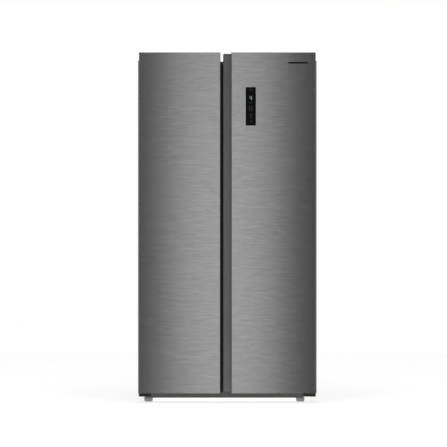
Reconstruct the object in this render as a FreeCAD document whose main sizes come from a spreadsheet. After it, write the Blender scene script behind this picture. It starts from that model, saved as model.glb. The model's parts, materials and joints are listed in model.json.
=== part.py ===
"""Side by side refrigerator: a parametric FreeCAD document, one object per separate piece.

Frame: X to the right, the doors face -Y, Z up, millimetres.  The origin is the middle of the
footprint on the floor.  SIZES holds each driving size and goes into the spreadsheet; PLACES
names each height and plane that is worked out from those sizes.  Every piece is bound to both.
"""
import FreeCAD, Part
import math
import os
import re

import Sketcher

SIZES = {
    # overall
    "width": 910, "depth": 645, "height": 1786,
    # cabinet
    "side_inset": 1, "top_step": 41, "cabinet_floor": 27, "rear_reach": 10, "sheet": 1,
    "front_flange": 16, "liner_wall": 1.5, "foam_floor": 50,
    "freezer_wall": 60, "fridge_wall": 54, "rear_foam": 55, "cavity_floor": 115,
    "ceiling_foam": 54, "mullion_left": -66, "mullion_right": 10, "mullion_flange": 8,
    "rib_reach": 8, "rib_height": 6, "rib_setback": 14,
    # machine room
    "machine_depth": 170, "machine_height": 240, "machine_foam": 40,
    "louvre_width": 90, "louvre_height": 6, "louvre_pitch": 18,
    "compressor_x": 260, "compressor_radius": 62, "compressor_height": 150,
    "compressor_lift": 16, "condenser_fan_x": 95, "condenser_fan_radius": 55,
    "condenser_left": -340, "condenser_length": 330, "coil_tube": 2.5,
    "evaporator_cover_y": 186, "evaporator_cover_wall": 4, "evaporator_base": 640,
    "evaporator_rise": 260, "evaporator_fan_radius": 52, "evaporator_fan_drop": 400,
    "fan_shaft": 2, "fit": 0.05, "duct_depth": 20, "duct_width": 200, "duct_base": 640,
    "duct_headroom": 80, "flap_drop": 50,
    # shelves, drawers and lamps
    "freezer_shelf_front": -155, "fridge_shelf_front": -135, "shelf_glass": 4,
    "shelf_rim": 12, "shelf_side_gap": 1, "drawer_wall": 2.5, "drawer_front_wall": 10,
    "drawer_side_gap": 10, "drawer_front_gap": 4, "drawer_floor_gap": 7, "drawer_clearance": 28,
    "shelf_clearance": 20, "freezer_shelf_headroom": 240, "fridge_shelf_headroom": 290,
    "drawer_height": 150, "drawer_flange": 3, "slide_gap": 0.3, "lamp_height": 6,
    # doors
    "door_floor": 50, "door_thickness": 60, "door_gap": 9, "door_split": -35,
    "centre_gap": 13.7, "grip_band": 41.4, "grip_depth": 27,
    "grip_wall": 3, "grip_undercut": 20.9, "lip": 5, "grip_drop": 5, "door_cap": 8,
    "hinge_edge_radius": 9, "latch_edge_radius": 3, "band_edge_radius": 2.5,
    "band_corner_radius": 6,
    "hinge_pocket": 60, "gasket_width": 20, "gasket_rest_gap": 0.4, "gasket_lead": 4,
    "dyke_width": 28, "dyke_depth": 49, "dyke_hinge_gap": 8, "dyke_latch_gap": 10,
    "dyke_end_gap": 10, "bin_wall": 2.2, "bin_height": 85, "freezer_bin_rear": -172,
    "fridge_bin_rear": -150, "bin_seat": 0.5, "lid_thickness": 3,
    "bin_floor_gap": 35, "freezer_bin_headroom": 310, "fridge_bin_headroom": 280,
    "display_inset": 73.4, "display_width": 52, "display_drop": 177,
    "display_height": 195.4, "display_depth": 4,
    # hinges
    "hinge_inset": 20, "hinge_lead": 28, "pin_radius": 5, "arm_half": 12, "arm_plate": 3,
    "cover_half": 14, "cover_wall": 2, "arm_length": 120, "pin_length": 20,
    # feet and rollers
    "left_foot_inset": 49.6, "right_foot_inset": 79.5, "foot_y": -224, "pad_radius": 23,
    "stud_radius": 6, "roller_radius": 20, "roller_width": 18, "roller_inset": 60,
    "roller_y": 276, "axle_radius": 4, "rail_width": 40, "rail_wall": 2,
}

PLACES = {
    "left": "-width / 2", "right": "width / 2",
    "front": "-depth / 2", "rear": "depth / 2",
    "door_back": "front + door_thickness",
    "cabinet_front": "door_back + door_gap",
    "cabinet_left": "left + side_inset", "cabinet_right": "right - side_inset",
    "cabinet_rear": "rear - rear_reach", "cabinet_top": "height - top_step",
    "foam_left": "cabinet_left + sheet", "foam_right": "cabinet_right - sheet",
    "foam_front": "cabinet_front + sheet", "foam_rear": "cabinet_rear - sheet",
    "foam_top": "cabinet_top - sheet",
    "freezer_left": "cabinet_left + freezer_wall", "freezer_right": "mullion_left",
    "fridge_left": "mullion_right", "fridge_right": "cabinet_right - fridge_wall",
    "fridge_shelf_rear": "cavity_rear - duct_depth - 6",
    "freezer_shelf_rear": "evaporator_cover_y - 6",
    "cavity_top": "foam_top - ceiling_foam", "cavity_rear": "foam_rear - rear_foam",
    "machine_front": "cabinet_rear - machine_depth",
    "step_front": "machine_front - machine_foam - liner_wall",
    "step_top": "machine_height + machine_foam + liner_wall",
    "freezer_panel": "door_split - left",
    "fridge_panel": "right - door_split - centre_gap - grip_band",
    "grip_front": "front + grip_depth",
    "left_foot_x": "left + left_foot_inset", "right_foot_x": "right - right_foot_inset",
    "roller_x": "right - roller_inset",
    "hinge_y": "door_back - hinge_lead",
    "hinge_x": "right - hinge_inset",
    "dyke_floor": "cavity_floor + dyke_end_gap", "dyke_top": "cavity_top - dyke_end_gap",
    "dyke_rear": "door_back + dyke_depth",
    "display_left": "door_split + centre_gap + grip_band + display_inset",
    "display_base": "height - display_drop - display_height",
    "duct_top": "cavity_top - duct_headroom", "flap_z": "duct_top - flap_drop",
    "evaporator_fan_z": "cavity_top - evaporator_fan_drop",
    "lower_drawer_z": "cavity_floor + drawer_floor_gap",
    "upper_drawer_z": "lower_drawer_z + drawer_height + drawer_clearance",
    "shelf_base": "upper_drawer_z + drawer_height + shelf_clearance",
    "bin_base": "dyke_floor + bin_floor_gap",
}


def spaced(base, top, steps):
    """Levels from base to top whose distances keep the proportions of the steps."""
    return [f"{base} + ({top} - ({base})) * {step} / {steps[-1]}" for step in steps]


FREEZER_SHELVES = spaced("shelf_base", "cavity_top - freezer_shelf_headroom",
                         (0, 170, 370, 570, 770, 980))
FRIDGE_SHELVES = spaced("shelf_base", "cavity_top - fridge_shelf_headroom",
                        (0, 220, 450, 680, 930))
FREEZER_BINS = spaced("bin_base", "dyke_top - freezer_bin_headroom",
                      (0, 310, 610, 910, 1210))
FRIDGE_BINS = spaced("bin_base", "dyke_top - fridge_bin_headroom",
                     (0, 340, 640, 940, 1240))
DUCT_OUTLETS = spaced("duct_base + 100", "duct_top - 160", (0, 230, 460, 710))
COVER_SLOTS = ([f"step_top + {rise}" for rise in (68.5, 258.5, 418.5, 618.5, 818.5)]
               + ["cavity_top - 190", "cavity_top - 90"])

WORD = re.compile(r"[a-z][a-z_]*")

doc = FreeCAD.newDocument("refrigerator")
sheet = doc.addObject("Spreadsheet::Sheet", "size")
for row, (alias, value) in enumerate(SIZES.items(), start=1):
    sheet.set(f"A{row}", alias)
    sheet.set(f"B{row}", str(value))
    sheet.setAlias(f"B{row}", alias)
doc.recompute()
pieces = []


def bound(text):
    """The expression with each named size and place written out for the spreadsheet."""
    def written_out(match):
        word = match.group(0)
        if word in SIZES:
            return "size." + word
        if word in PLACES:
            return "(" + bound(PLACES[word]) + ")"
        return word
    return WORD.sub(written_out, str(text))


def number(text):
    """What an expression comes to with the present sizes."""
    return float(sheet.evalExpression(bound(text)))


def bind(target, path, text):
    """Tie one property of an object to an expression in the named sizes."""
    target.setExpression(path, bound(text))


def piece(name, target):
    """Name a finished sub-part, which then gets a file of its own."""
    target.Label = name
    pieces.append(target)
    return target


def box(x, y, z):
    """A plain block; each of x, y and z is (low, high) in the named sizes."""
    block = doc.addObject("Part::Box", "block")
    for axis, side, (low, high) in zip("xyz", ("Length", "Width", "Height"), (x, y, z)):
        bind(block, ".Placement.Base." + axis, low)
        bind(block, side, f"({high}) - ({low})")
    return block


TURNS = {
    "x": FreeCAD.Rotation(FreeCAD.Vector(0, 1, 0), 90),
    "y": FreeCAD.Rotation(FreeCAD.Vector(1, 0, 0), -90),
    "z": FreeCAD.Rotation(),
}


def rod(axis, radius, at, length):
    """A cylinder that starts at a point and runs along +X, +Y or +Z."""
    cylinder = doc.addObject("Part::Cylinder", "rod")
    cylinder.Placement = FreeCAD.Placement(FreeCAD.Vector(), TURNS[axis])
    bind(cylinder, "Radius", radius)
    bind(cylinder, "Height", length)
    for name, place in zip("xyz", at):
        bind(cylinder, ".Placement.Base." + name, place)
    return cylinder


def fuse(*parts):
    """One solid from parts that meet or overlap."""
    joined = doc.addObject("Part::MultiFuse", "joined")
    joined.Shapes = list(parts)
    joined.Refine = True
    return joined


def cut(base, *tools):
    """A part with other parts taken out of it."""
    for tool in tools:
        result = doc.addObject("Part::Cut", "cut")
        result.Base = base
        result.Tool = tool
        base = result
    base.Refine = True
    return base


def group(*parts):
    """Separate solids kept in one sub-part."""
    compound = doc.addObject("Part::Compound", "group")
    compound.Links = list(parts)
    return compound


def body_plane(body, role):
    """One of the origin planes of a body."""
    return next(item for item in body.Origin.OriginFeatures if item.Role == role)


def outline(body, role, points):
    """A closed polygon sketch on an origin plane, each corner tied to the named sizes."""
    sketch = body.newObject("Sketcher::SketchObject", "outline")
    sketch.AttachmentSupport = (body_plane(body, role), [""])
    sketch.MapMode = "FlatFace"
    corners = [FreeCAD.Vector(number(u), number(v), 0) for u, v in points]
    count = len(corners)
    for index, corner in enumerate(corners):
        sketch.addGeometry(Part.LineSegment(corner, corners[(index + 1) % count]))
    for index in range(count):
        sketch.addConstraint(
            Sketcher.Constraint("Coincident", index, 2, (index + 1) % count, 1))
    for index, (u, v) in enumerate(points):
        for kind, text in (("DistanceX", u), ("DistanceY", v)):
            row = sketch.addConstraint(
                Sketcher.Constraint(kind, -1, 1, index, 1, number(text)))
            sketch.setExpression(f"Constraints[{row}]", bound(text))
    return sketch


def extrusion(role, points, low, high, radius=None, edges=None):
    """A body with one outline padded from low to high along the plane's normal."""
    body = doc.addObject("PartDesign::Body", "body")
    sketch = outline(body, role, points)
    axis = {"XY_Plane": "z", "XZ_Plane": "y", "YZ_Plane": "x"}[role]
    away = -1 if role == "XZ_Plane" else 1
    bind(sketch, ".AttachmentOffset.Base.z", f"{away} * ({low})")
    pad = body.newObject("PartDesign::Pad", "pad")
    pad.Profile = sketch
    pad.Reversed = role == "XZ_Plane"
    bind(pad, "Length", f"({high}) - ({low})")
    if radius is not None:
        round_edges(body, radius, edges or axis)
    return body


def edge_direction(edge):
    """The axis that a straight edge follows, or None."""
    if edge.Curve.TypeId != "Part::GeomLine":
        return None
    step = edge.Vertexes[-1].Point - edge.Vertexes[0].Point
    along = [name for name in "xyz" if abs(getattr(step, name)) > 1e-6]
    return along[0] if len(along) == 1 else None


def round_edges(body, radius, choose):
    """Fillet the edges of a body that follow an axis, or that a test accepts."""
    doc.recompute()
    base = body.Tip
    test = choose if callable(choose) else (lambda edge: edge_direction(edge) == choose)
    names = [f"Edge{index}" for index, edge in enumerate(base.Shape.Edges, start=1)
             if test(edge)]
    fillet = body.newObject("PartDesign::Fillet", "fillet")
    fillet.Base = (base, names)
    bind(fillet, "Radius", radius)
    return body


def upright_at(x, y):
    """A test that picks the vertical edge at one place."""
    x, y = number(x), number(y)

    def test(edge):
        at = edge.Vertexes[0].Point
        return edge_direction(edge) == "z" and abs(at.x - x) + abs(at.y - y) < 1e-6
    return test


def rounded_box(x, y, z, radius, axis="z"):
    """A block whose four edges along one axis are round."""
    rectangle = {
        "z": ("XY_Plane", x, y, z), "y": ("XZ_Plane", x, z, y), "x": ("YZ_Plane", y, z, x),
    }[axis]
    role, (u_low, u_high), (v_low, v_high), (low, high) = rectangle
    corners = ((u_low, v_low), (u_high, v_low), (u_high, v_high), (u_low, v_high))
    return extrusion(role, corners, low, high, radius)


def turned(points, x, y, low="0"):
    """A solid of revolution about a vertical axis: points are (radius, height)."""
    body = doc.addObject("PartDesign::Body", "turned")
    sketch = outline(body, "XZ_Plane", points)
    spin = body.newObject("PartDesign::Revolution", "spin")
    spin.Profile = sketch
    spin.ReferenceAxis = (sketch, ["V_Axis"])
    spin.Angle = 360
    bind(body, ".Placement.Base.x", x)
    bind(body, ".Placement.Base.y", y)
    bind(body, ".Placement.Base.z", low)
    return body


# ---------------------------------------------------------------- cabinet

def outer_cabinet(holes):
    """Folded steel wrapper: two sides and a top, with a flange turned in at the front."""
    wrapper = rounded_box(
        ("cabinet_left", "cabinet_right"), ("cabinet_front", "cabinet_rear"),
        ("cabinet_floor", "cabinet_top"), "2 * sheet", "y")
    inside = box(("foam_left", "foam_right"), ("foam_front", "cabinet_rear + 1"),
                 ("cabinet_floor - 9", "foam_top"))
    mouth = box(("cabinet_left + front_flange", "cabinet_right - front_flange"),
                ("cabinet_front - 1", "foam_front + 1"),
                ("cabinet_floor - 9", "cabinet_top - front_flange"))
    return piece("outer_cabinet", cut(wrapper, inside, mouth, *holes))


def back_panel():
    """Flat sheet that closes the back above the machine room."""
    return piece("back_panel", box(
        ("foam_left", "foam_right"), ("foam_rear", "cabinet_rear"),
        ("machine_height", "foam_top")))


def stepped(x_low, x_high, y_front, grow):
    """The space of one compartment, stepped over the machine room and grown by a wall."""
    side = (
        (y_front, f"cavity_floor - ({grow})"),
        (f"step_front + ({grow})", f"cavity_floor - ({grow})"),
        (f"step_front + ({grow})", f"step_top - ({grow})"),
        (f"cavity_rear + ({grow})", f"step_top - ({grow})"),
        (f"cavity_rear + ({grow})", f"cavity_top + ({grow})"),
        (y_front, f"cavity_top + ({grow})"),
    )
    return extrusion("YZ_Plane", side, f"{x_low} - ({grow})", f"{x_high} + ({grow})")


def cabinet_insulation(holes):
    """Foamed body between the wrapper, the two liners and the machine room."""
    side = (
        ("foam_front", "foam_floor"), ("machine_front", "foam_floor"),
        ("machine_front", "machine_height"), ("foam_rear", "machine_height"),
        ("foam_rear", "foam_top"), ("foam_front", "foam_top"),
    )
    block = extrusion("YZ_Plane", side, "foam_left", "foam_right")
    freezer = stepped("freezer_left", "freezer_right", "foam_front - 1", "liner_wall")
    fridge = stepped("fridge_left", "fridge_right", "foam_front - 1", "liner_wall")
    return piece("cabinet_insulation", cut(block, freezer, fridge, *holes))


def liner(name, x_low, x_high, flange, rib_start, rib_ends):
    """Moulded compartment liner with a front flange and a pair of ribs for each level."""
    shell = stepped(x_low, x_high, "foam_front", "liner_wall")
    rim = box(flange, ("cabinet_front", "foam_front"),
              ("foam_floor", "cabinet_top - front_flange"))
    inside = stepped(x_low, x_high, "cabinet_front - 1", "0")
    ribs = []
    for level, rib_end in rib_ends.items():
        for side in ((x_low, f"{x_low} + rib_reach"), (f"{x_high} - rib_reach", x_high)):
            ribs.append(box(side, (rib_start, rib_end), (f"{level} - rib_height", level)))
    return piece(name, fuse(cut(fuse(shell, rim), inside), *ribs))


def drawer_level(base):
    """Height of the rib that a drawer's flanges slide on."""
    return f"{base} + drawer_height - drawer_flange - slide_gap"


def liners():
    """Both compartment liners."""
    for name, x_low, x_high, flange, kind, shelves in (
            ("freezer_liner", "freezer_left", "freezer_right",
             ("cabinet_left + front_flange", "freezer_right + mullion_flange"),
             "freezer", FREEZER_SHELVES),
            ("fridge_liner", "fridge_left", "fridge_right",
             ("fridge_left - mullion_flange", "cabinet_right - front_flange"),
             "fridge", FRIDGE_SHELVES)):
        rear = f"{kind}_shelf_rear"
        rib_ends = {drawer_level("lower_drawer_z"): "step_front - 6",
                    drawer_level("upper_drawer_z"): rear}
        rib_ends.update((f"{z} - shelf_glass", rear) for z in shelves)
        liner(name, x_low, x_high, flange, f"{kind}_shelf_front + rib_setback", rib_ends)


def mullion_cover():
    """Steel strip on the front of the wall between the compartments."""
    return piece("mullion_cover", box(
        ("freezer_right + mullion_flange", "fridge_left - mullion_flange"),
        ("cabinet_front", "foam_front"), ("foam_floor", "cabinet_top - front_flange")))


def base_frame():
    """Pressed steel underframe: side rails, front rail and the machine room floor."""
    parts = []
    for near, far in (("foam_left", "foam_left + rail_width"),
                      ("foam_right - rail_width", "foam_right")):
        rail = box((near, far), ("foam_front", "foam_rear"), ("cabinet_floor", "foam_floor"))
        parts.append(rail)
    inner = ("foam_left + rail_width", "foam_right - rail_width")
    parts.append(box(inner, ("foam_front", "foam_front + 58"),
                     ("cabinet_floor", "foam_floor")))
    parts.append(box(inner, ("machine_front - 8", "foam_rear"),
                     ("cabinet_floor", "cabinet_floor + rail_wall")))
    for side in ("-roller_x", "roller_x"):
        for face in (f"{side} - roller_width / 2 - 4", f"{side} + roller_width / 2 + 1"):
            parts.append(box((face, f"{face} + 3"), ("roller_y - 10", "roller_y + 10"),
                             ("roller_radius - axle_radius - 5", "cabinet_floor + 20")))
    hollow = [
        box(("foam_left + rail_wall", "foam_left + rail_width - rail_wall"),
            ("foam_front + 60", "foam_rear + 1"),
            ("cabinet_floor - 1", "foam_floor - rail_wall")),
        box(("foam_right - rail_width + rail_wall", "foam_right - rail_wall"),
            ("foam_front + 60", "foam_rear + 1"),
            ("cabinet_floor - 1", "foam_floor - rail_wall")),
        box(("foam_left + rail_width + 40", "foam_right - rail_width - 100"),
            ("foam_front + rail_wall", "foam_front + 59"),
            ("cabinet_floor + rail_wall", "foam_floor - rail_wall")),
    ]
    for side in ("-roller_x", "roller_x"):
        hollow.append(box(
            (f"{side} - roller_width / 2 - 1", f"{side} + roller_width / 2 + 1"),
            ("roller_y - roller_radius - 4", "roller_y + roller_radius + 4"),
            ("0", "cabinet_floor + 10")))
        hollow.append(rod("x", "axle_radius", (f"{side} - 20", "roller_y", "roller_radius"),
                          "40"))
    for foot in ("left_foot_x", "right_foot_x"):
        hollow.append(rod("z", "stud_radius + fit", (foot, "foot_y", "0"), "foam_floor"))
    return piece("base_frame", cut(fuse(*parts), *hollow))


def roller_axles():
    """Steel pins that carry the rear rollers."""
    pins = []
    for side in ("-roller_x", "roller_x"):
        pins.append(rod("x", "axle_radius",
                        (f"{side} - roller_width / 2 - 4", "roller_y", "roller_radius"),
                        "roller_width + 8"))
    return piece("roller_axles", group(*pins))


def rear_rollers():
    """Two nylon transport rollers."""
    for name, side in (("rear_roller_left", "-roller_x"), ("rear_roller_right", "roller_x")):
        at = (f"{side} - roller_width / 2", "roller_y", "roller_radius")
        wheel = rod("x", "roller_radius", at, "roller_width")
        bore = rod("x", "axle_radius + fit", (f"{side} - 20", "roller_y", "roller_radius"),
                   "40")
        piece(name, cut(wheel, bore))


def feet():
    """Two screw feet: a waisted plastic pad that swivels on a threaded steel stud."""
    profile = (
        ("0", "0"), ("pad_radius - 3", "0"), ("pad_radius - 2", "3"), ("pad_radius", "14"),
        ("pad_radius", "19"), ("pad_radius - 6", "24"), ("pad_radius - 6", "cabinet_floor - 1"),
        ("stud_radius + fit", "cabinet_floor - 1"), ("stud_radius + fit", "8"), ("0", "8"),
    )
    for side, foot in (("left", "left_foot_x"), ("right", "right_foot_x")):
        piece("foot_pad_" + side, turned(profile, foot, "foot_y"))
        piece("foot_stud_" + side, rod("z", "stud_radius", (foot, "foot_y", "8"),
                                       "foam_floor - rail_wall - 10"))


def kick_plate():
    """Front trim below the doors, between the lower hinges."""
    plate = rounded_box(("-hinge_x + 46", "hinge_x - 46"),
                        ("foam_front - 5", "foam_front"),
                        ("cabinet_floor", "door_floor - 2"), "2", "y")
    return piece("kick_plate", plate)


def machine_room_cover():
    """Pressed rear cover of the machine room, raised in the middle and louvred."""
    plate = box(("foam_left", "foam_right"), ("foam_rear", "cabinet_rear"),
                ("foam_floor - 20", "machine_height"))
    raised = rounded_box(("-300", "300"), ("foam_rear", "rear"),
                         ("foam_floor", "machine_height - 20"), "12", "y")
    hollow = rounded_box(("-298", "298"), ("foam_rear - 1", "rear - sheet"),
                         ("foam_floor + 2", "machine_height - 22"), "10", "y")
    slots = []
    for column in range(5):
        x = f"-270 + {column} * (louvre_width + 22)"
        for level in range(7):
            z = f"foam_floor + 28 + {level} * louvre_pitch"
            slots.append(box((x, f"{x} + louvre_width"), ("foam_rear", "rear + 1"),
                             (z, f"{z} + louvre_height")))
    return piece("machine_room_cover", cut(fuse(plate, raised), hollow, *slots))


def control_box():
    """Plastic housing of the main board, on the back near the top, and the mains inlet."""
    case = rounded_box(("-110", "110"), ("cabinet_rear", "rear"),
                       ("cabinet_top - 260", "cabinet_top - 90"), "10", "y")
    lid_groove = box(("-100", "100"), ("rear - 1.2", "rear + 1"),
                     ("cabinet_top - 176", "cabinet_top - 174"))
    socket = rounded_box(("-215", "-185"), ("cabinet_rear", "rear"),
                         ("foam_floor + 215", "foam_floor + 239"), "4", "y")
    blades = box(("-211", "-189"), ("rear - 8", "rear + 1"),
                 ("foam_floor + 219", "foam_floor + 235"))
    spacers = []
    for x in ("-380", "350"):
        spacers.append(rounded_box((x, f"{x} + 30"), ("cabinet_rear", "rear"),
                                   ("cabinet_top - 400", "cabinet_top - 340"), "6", "y"))
    return piece("control_box", group(cut(case, lid_groove), cut(socket, blades), *spacers))


# ---------------------------------------------------------------- cooling parts

def bent_tube(radius, bend, points):
    """A round tube whose straight runs are joined by tangent arcs of one radius."""
    corners = [FreeCAD.Vector(*(number(value) for value in point)) for point in points]
    edges = []
    start = corners[0]
    for before, corner, after in zip(corners, corners[1:], corners[2:]):
        into = (corner - before).normalize()
        out = (after - corner).normalize()
        turn = into.getAngle(out)
        reach = bend * math.tan(turn / 2)
        first = corner - into * reach
        last = corner + out * reach
        bisector = (out - into).normalize()
        centre = corner + bisector * (bend / math.cos(turn / 2))
        middle = centre + (corner - centre).normalize() * bend
        if start.distanceToPoint(first) > 1e-4:
            edges.append(Part.LineSegment(start, first).toShape())
        edges.append(Part.Arc(first, middle, last).toShape())
        start = last
    edges.append(Part.LineSegment(start, corners[-1]).toShape())
    direction = corners[1] - corners[0]
    section = Part.Wire(Part.Circle(corners[0], direction, radius).toShape())
    tube = doc.addObject("Part::Feature", "bent_tube")
    tube.Shape = Part.Wire(edges).makePipeShell([section], True, False)
    return tube


def finned_coil(x_low, x_high, rows, columns, fins, fin_y, fin_z):
    """Serpentine tube through parallel plate fins."""
    route = []
    flip = False
    for y in columns:
        for z in (rows if len(route) % (4 * len(rows)) == 0 else rows[::-1]):
            ends = (x_high, x_low) if flip else (x_low, x_high)
            route.extend((end, y, z) for end in ends)
            flip = not flip
    tube = bent_tube(number("coil_tube"), 9, route)
    plates = []
    for index in range(fins):
        x = f"{x_low} + 16 + {index} * ({x_high} - ({x_low}) - 33) / {fins - 1}"
        plates.append(box((x, f"{x} + 1"), fin_y, fin_z))
    return fuse(tube, *plates)


def compressor():
    """Hermetic compressor on its foot plate, with the starter cover on its side."""
    profile = (("0", "0"), ("compressor_radius - 8", "0"), ("compressor_radius", "10"),
               ("compressor_radius", "compressor_height - 22"),
               ("compressor_radius - 14", "compressor_height - 5"),
               ("compressor_radius - 40", "compressor_height"), ("0", "compressor_height"))
    floor = "cabinet_floor + rail_wall + compressor_lift"
    y = "machine_front + 84"
    shell = turned(profile, "compressor_x", y, f"{floor} + 3")
    foot = rounded_box(("compressor_x - 64", "compressor_x + 64"), (f"{y} - 58", f"{y} + 58"),
                       (floor, f"{floor} + 3"), "8")
    cover = rounded_box(("compressor_x + 40", "compressor_x + compressor_radius + 24"),
                        (f"{y} - 24", f"{y} + 24"), (f"{floor} + 40", f"{floor} + 110"), "5")
    piece("compressor", group(fuse(shell, foot), cut(cover, shell)))
    mounts = []
    for across in ("-52", "52"):
        for along in ("-46", "46"):
            mounts.append(rod("z", "11", (f"compressor_x + {across}", f"{y} + {along}",
                                          "cabinet_floor + rail_wall"), "compressor_lift"))
    piece("compressor_mounts", group(*mounts))


def condenser():
    """Condenser coil with its fins, and the drain pan below it."""
    rows = [f"machine_height - {178 - 18 * index}" for index in range(8)]
    columns = ("machine_front + 60", "machine_front + 78")
    coil = finned_coil("condenser_left", "condenser_left + condenser_length", rows, columns,
                       14, ("machine_front + 48", "machine_front + 90"),
                       ("cabinet_floor + 27", "machine_height - 40"))
    ends = []
    for x in ("condenser_left + 12", "condenser_left + condenser_length - 14"):
        ends.append(box((x, f"{x} + 2"), ("machine_front + 46", "machine_front + 92"),
                        ("cabinet_floor + rail_wall", "machine_height - 38")))
    piece("condenser_coil", fuse(coil, *ends))
    pan_x = ("condenser_left + 18", "condenser_left + condenser_length - 18")
    tray = rounded_box(pan_x, ("machine_front + 24", "machine_front + 150"),
                       ("cabinet_floor + rail_wall", "cabinet_floor + 22"), "8")
    inside = rounded_box((pan_x[0] + " + 2", pan_x[1] + " - 2"),
                         ("machine_front + 26", "machine_front + 148"),
                         ("cabinet_floor + rail_wall + 2", "cabinet_floor + 30"), "6")
    piece("drain_pan", cut(tray, inside))


def fan_rotor(radius, depth, hub, blades=7):
    """A fan rotor about +X: a bored hub and flat blades set at an angle."""
    bore = number("fan_shaft + fit")
    centre = Part.makeCylinder(hub, depth, FreeCAD.Vector(), FreeCAD.Vector(1, 0, 0))
    solids = []
    for index in range(blades):
        blade = Part.makeBox(2, 30, radius - hub + 4, FreeCAD.Vector(-1, -15, hub - 4))
        blade.rotate(FreeCAD.Vector(), FreeCAD.Vector(0, 0, 1), 60)
        blade.translate(FreeCAD.Vector(depth / 2, 0, 0))
        blade.rotate(FreeCAD.Vector(), FreeCAD.Vector(1, 0, 0), 360 * index / blades)
        solids.append(blade)
    sweep = Part.makeCylinder(radius, depth, FreeCAD.Vector(), FreeCAD.Vector(1, 0, 0))
    shape = centre.fuse(solids).common(sweep)
    hole = Part.makeCylinder(bore, depth, FreeCAD.Vector(3, 0, 0), FreeCAD.Vector(1, 0, 0))
    rotor = doc.addObject("Part::Feature", "rotor")
    rotor.Shape = shape.cut(hole).removeSplitter()
    return rotor


def condenser_fan():
    """Rotor, and the shroud that stands on the machine room floor with its motor."""
    x = "condenser_fan_x"
    y = "machine_front + 84"
    z = "cabinet_floor + 95"
    frame = rounded_box((x, f"{x} + 24"), (f"{y} - 68", f"{y} + 68"),
                        ("cabinet_floor + rail_wall", f"{z} + 66"), "6", "x")
    hole = rod("x", "condenser_fan_radius + 3", (f"{x} - 1", y, z), "26")
    bar = box((f"{x} + 24", f"{x} + 28"), (f"{y} - 66", f"{y} + 66"), (f"{z} - 9", f"{z} + 9"))
    motor = rod("x", "20", (f"{x} + 24", y, z), "30")
    shaft = rod("x", "fan_shaft", (f"{x} + 8", y, z), "18")
    piece("condenser_fan_shroud", fuse(cut(frame, hole), bar, motor, shaft))
    rotor = fan_rotor(number("condenser_fan_radius"), 18, 14)
    rotor.Placement.Base = FreeCAD.Vector(number(f"{x} + 4"), number(y), number(z))
    piece("condenser_fan", rotor)


def refrigerant_pipes():
    """Discharge pipe to the condenser and suction pipe up into the foam."""
    y = "machine_front + 84"
    z = "cabinet_floor + 120"
    over = "machine_height - 20"
    coil_end = "condenser_left + condenser_length"
    discharge = bent_tube(3, 12, (
        ("compressor_x - compressor_radius - 0.5", y, z),
        ("compressor_x - compressor_radius - 34", y, z),
        ("compressor_x - compressor_radius - 34", y, over),
        (f"{coil_end} + 40", y, over),
        (f"{coil_end} + 40", "machine_front + 52", "machine_height - 60"),
        (f"{coil_end} - 11", "machine_front + 43", "machine_height - 60")))
    suction = bent_tube(3, 9, (
        ("compressor_x", "machine_front + 84 - compressor_radius - 0.5", z),
        ("compressor_x", "machine_front + 9", z),
        ("compressor_x", "machine_front + 9", "machine_height - 0.2")))
    piece("refrigerant_pipes", group(discharge, suction))


def evaporator():
    """Freezer evaporator, its defrost heater, and the cover and fan in front of it."""
    left, right = "freezer_left + 34", "freezer_right - 34"
    rows = [f"evaporator_base + {30 + 26 * index}" for index in range(8)]
    columns = ("evaporator_cover_y + 28", "evaporator_cover_y + 46")
    fin_y = ("evaporator_cover_y + 18", "evaporator_cover_y + 56")
    coil = finned_coil(left, right, rows, columns, 14, fin_y,
                       ("evaporator_base", "evaporator_base + evaporator_rise"))
    ends = []
    for x in (f"{left} + 12", f"{right} - 14"):
        ends.append(box((x, f"{x} + 2"), ("evaporator_cover_y + 16", "cavity_rear"),
                        ("evaporator_base - 34", "evaporator_base + evaporator_rise")))
    piece("evaporator", fuse(coil, *ends))
    piece("defrost_heater", rod("x", "5", (f"{left} + 14", "evaporator_cover_y + 36",
                                           "evaporator_base - 18"),
                                f"{right} - 14 - ({left} + 14)"))
    mid = "(freezer_left + freezer_right) / 2"
    back = "evaporator_cover_y + evaporator_cover_wall"
    panel = box(("freezer_left", "freezer_right"), ("evaporator_cover_y", back),
                ("step_top", "cavity_top"))
    holes = [rod("y", "evaporator_fan_radius + 4",
                 (mid, "evaporator_cover_y - 1", "evaporator_fan_z"), "9")]
    for z in COVER_SLOTS:
        for column in range(4):
            x = f"freezer_left + 50 + {column} * (freezer_right - freezer_left - 142) / 3"
            holes.append(box((x, f"{x} + 42"), ("evaporator_cover_y - 1", f"{back} + 1"),
                             (f"{z}", f"{z} + 8")))
    piece("evaporator_cover", cut(panel, *holes))
    motor = rod("y", "22", (mid, f"{back} + 26", "evaporator_fan_z"),
                f"cavity_rear - ({back} + 26)")
    shaft = rod("y", "fan_shaft", (mid, f"{back} + 8", "evaporator_fan_z"), "20")
    piece("evaporator_fan_motor", fuse(motor, shaft))
    rotor = fan_rotor(number("evaporator_fan_radius"), 18, 15)
    turn = FreeCAD.Rotation(FreeCAD.Vector(0, 0, 1), 90)
    place = FreeCAD.Vector(number(mid), number(f"{back} + 4"), number("evaporator_fan_z"))
    rotor.Placement = FreeCAD.Placement(place, turn)
    piece("evaporator_fan", rotor)


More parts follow.
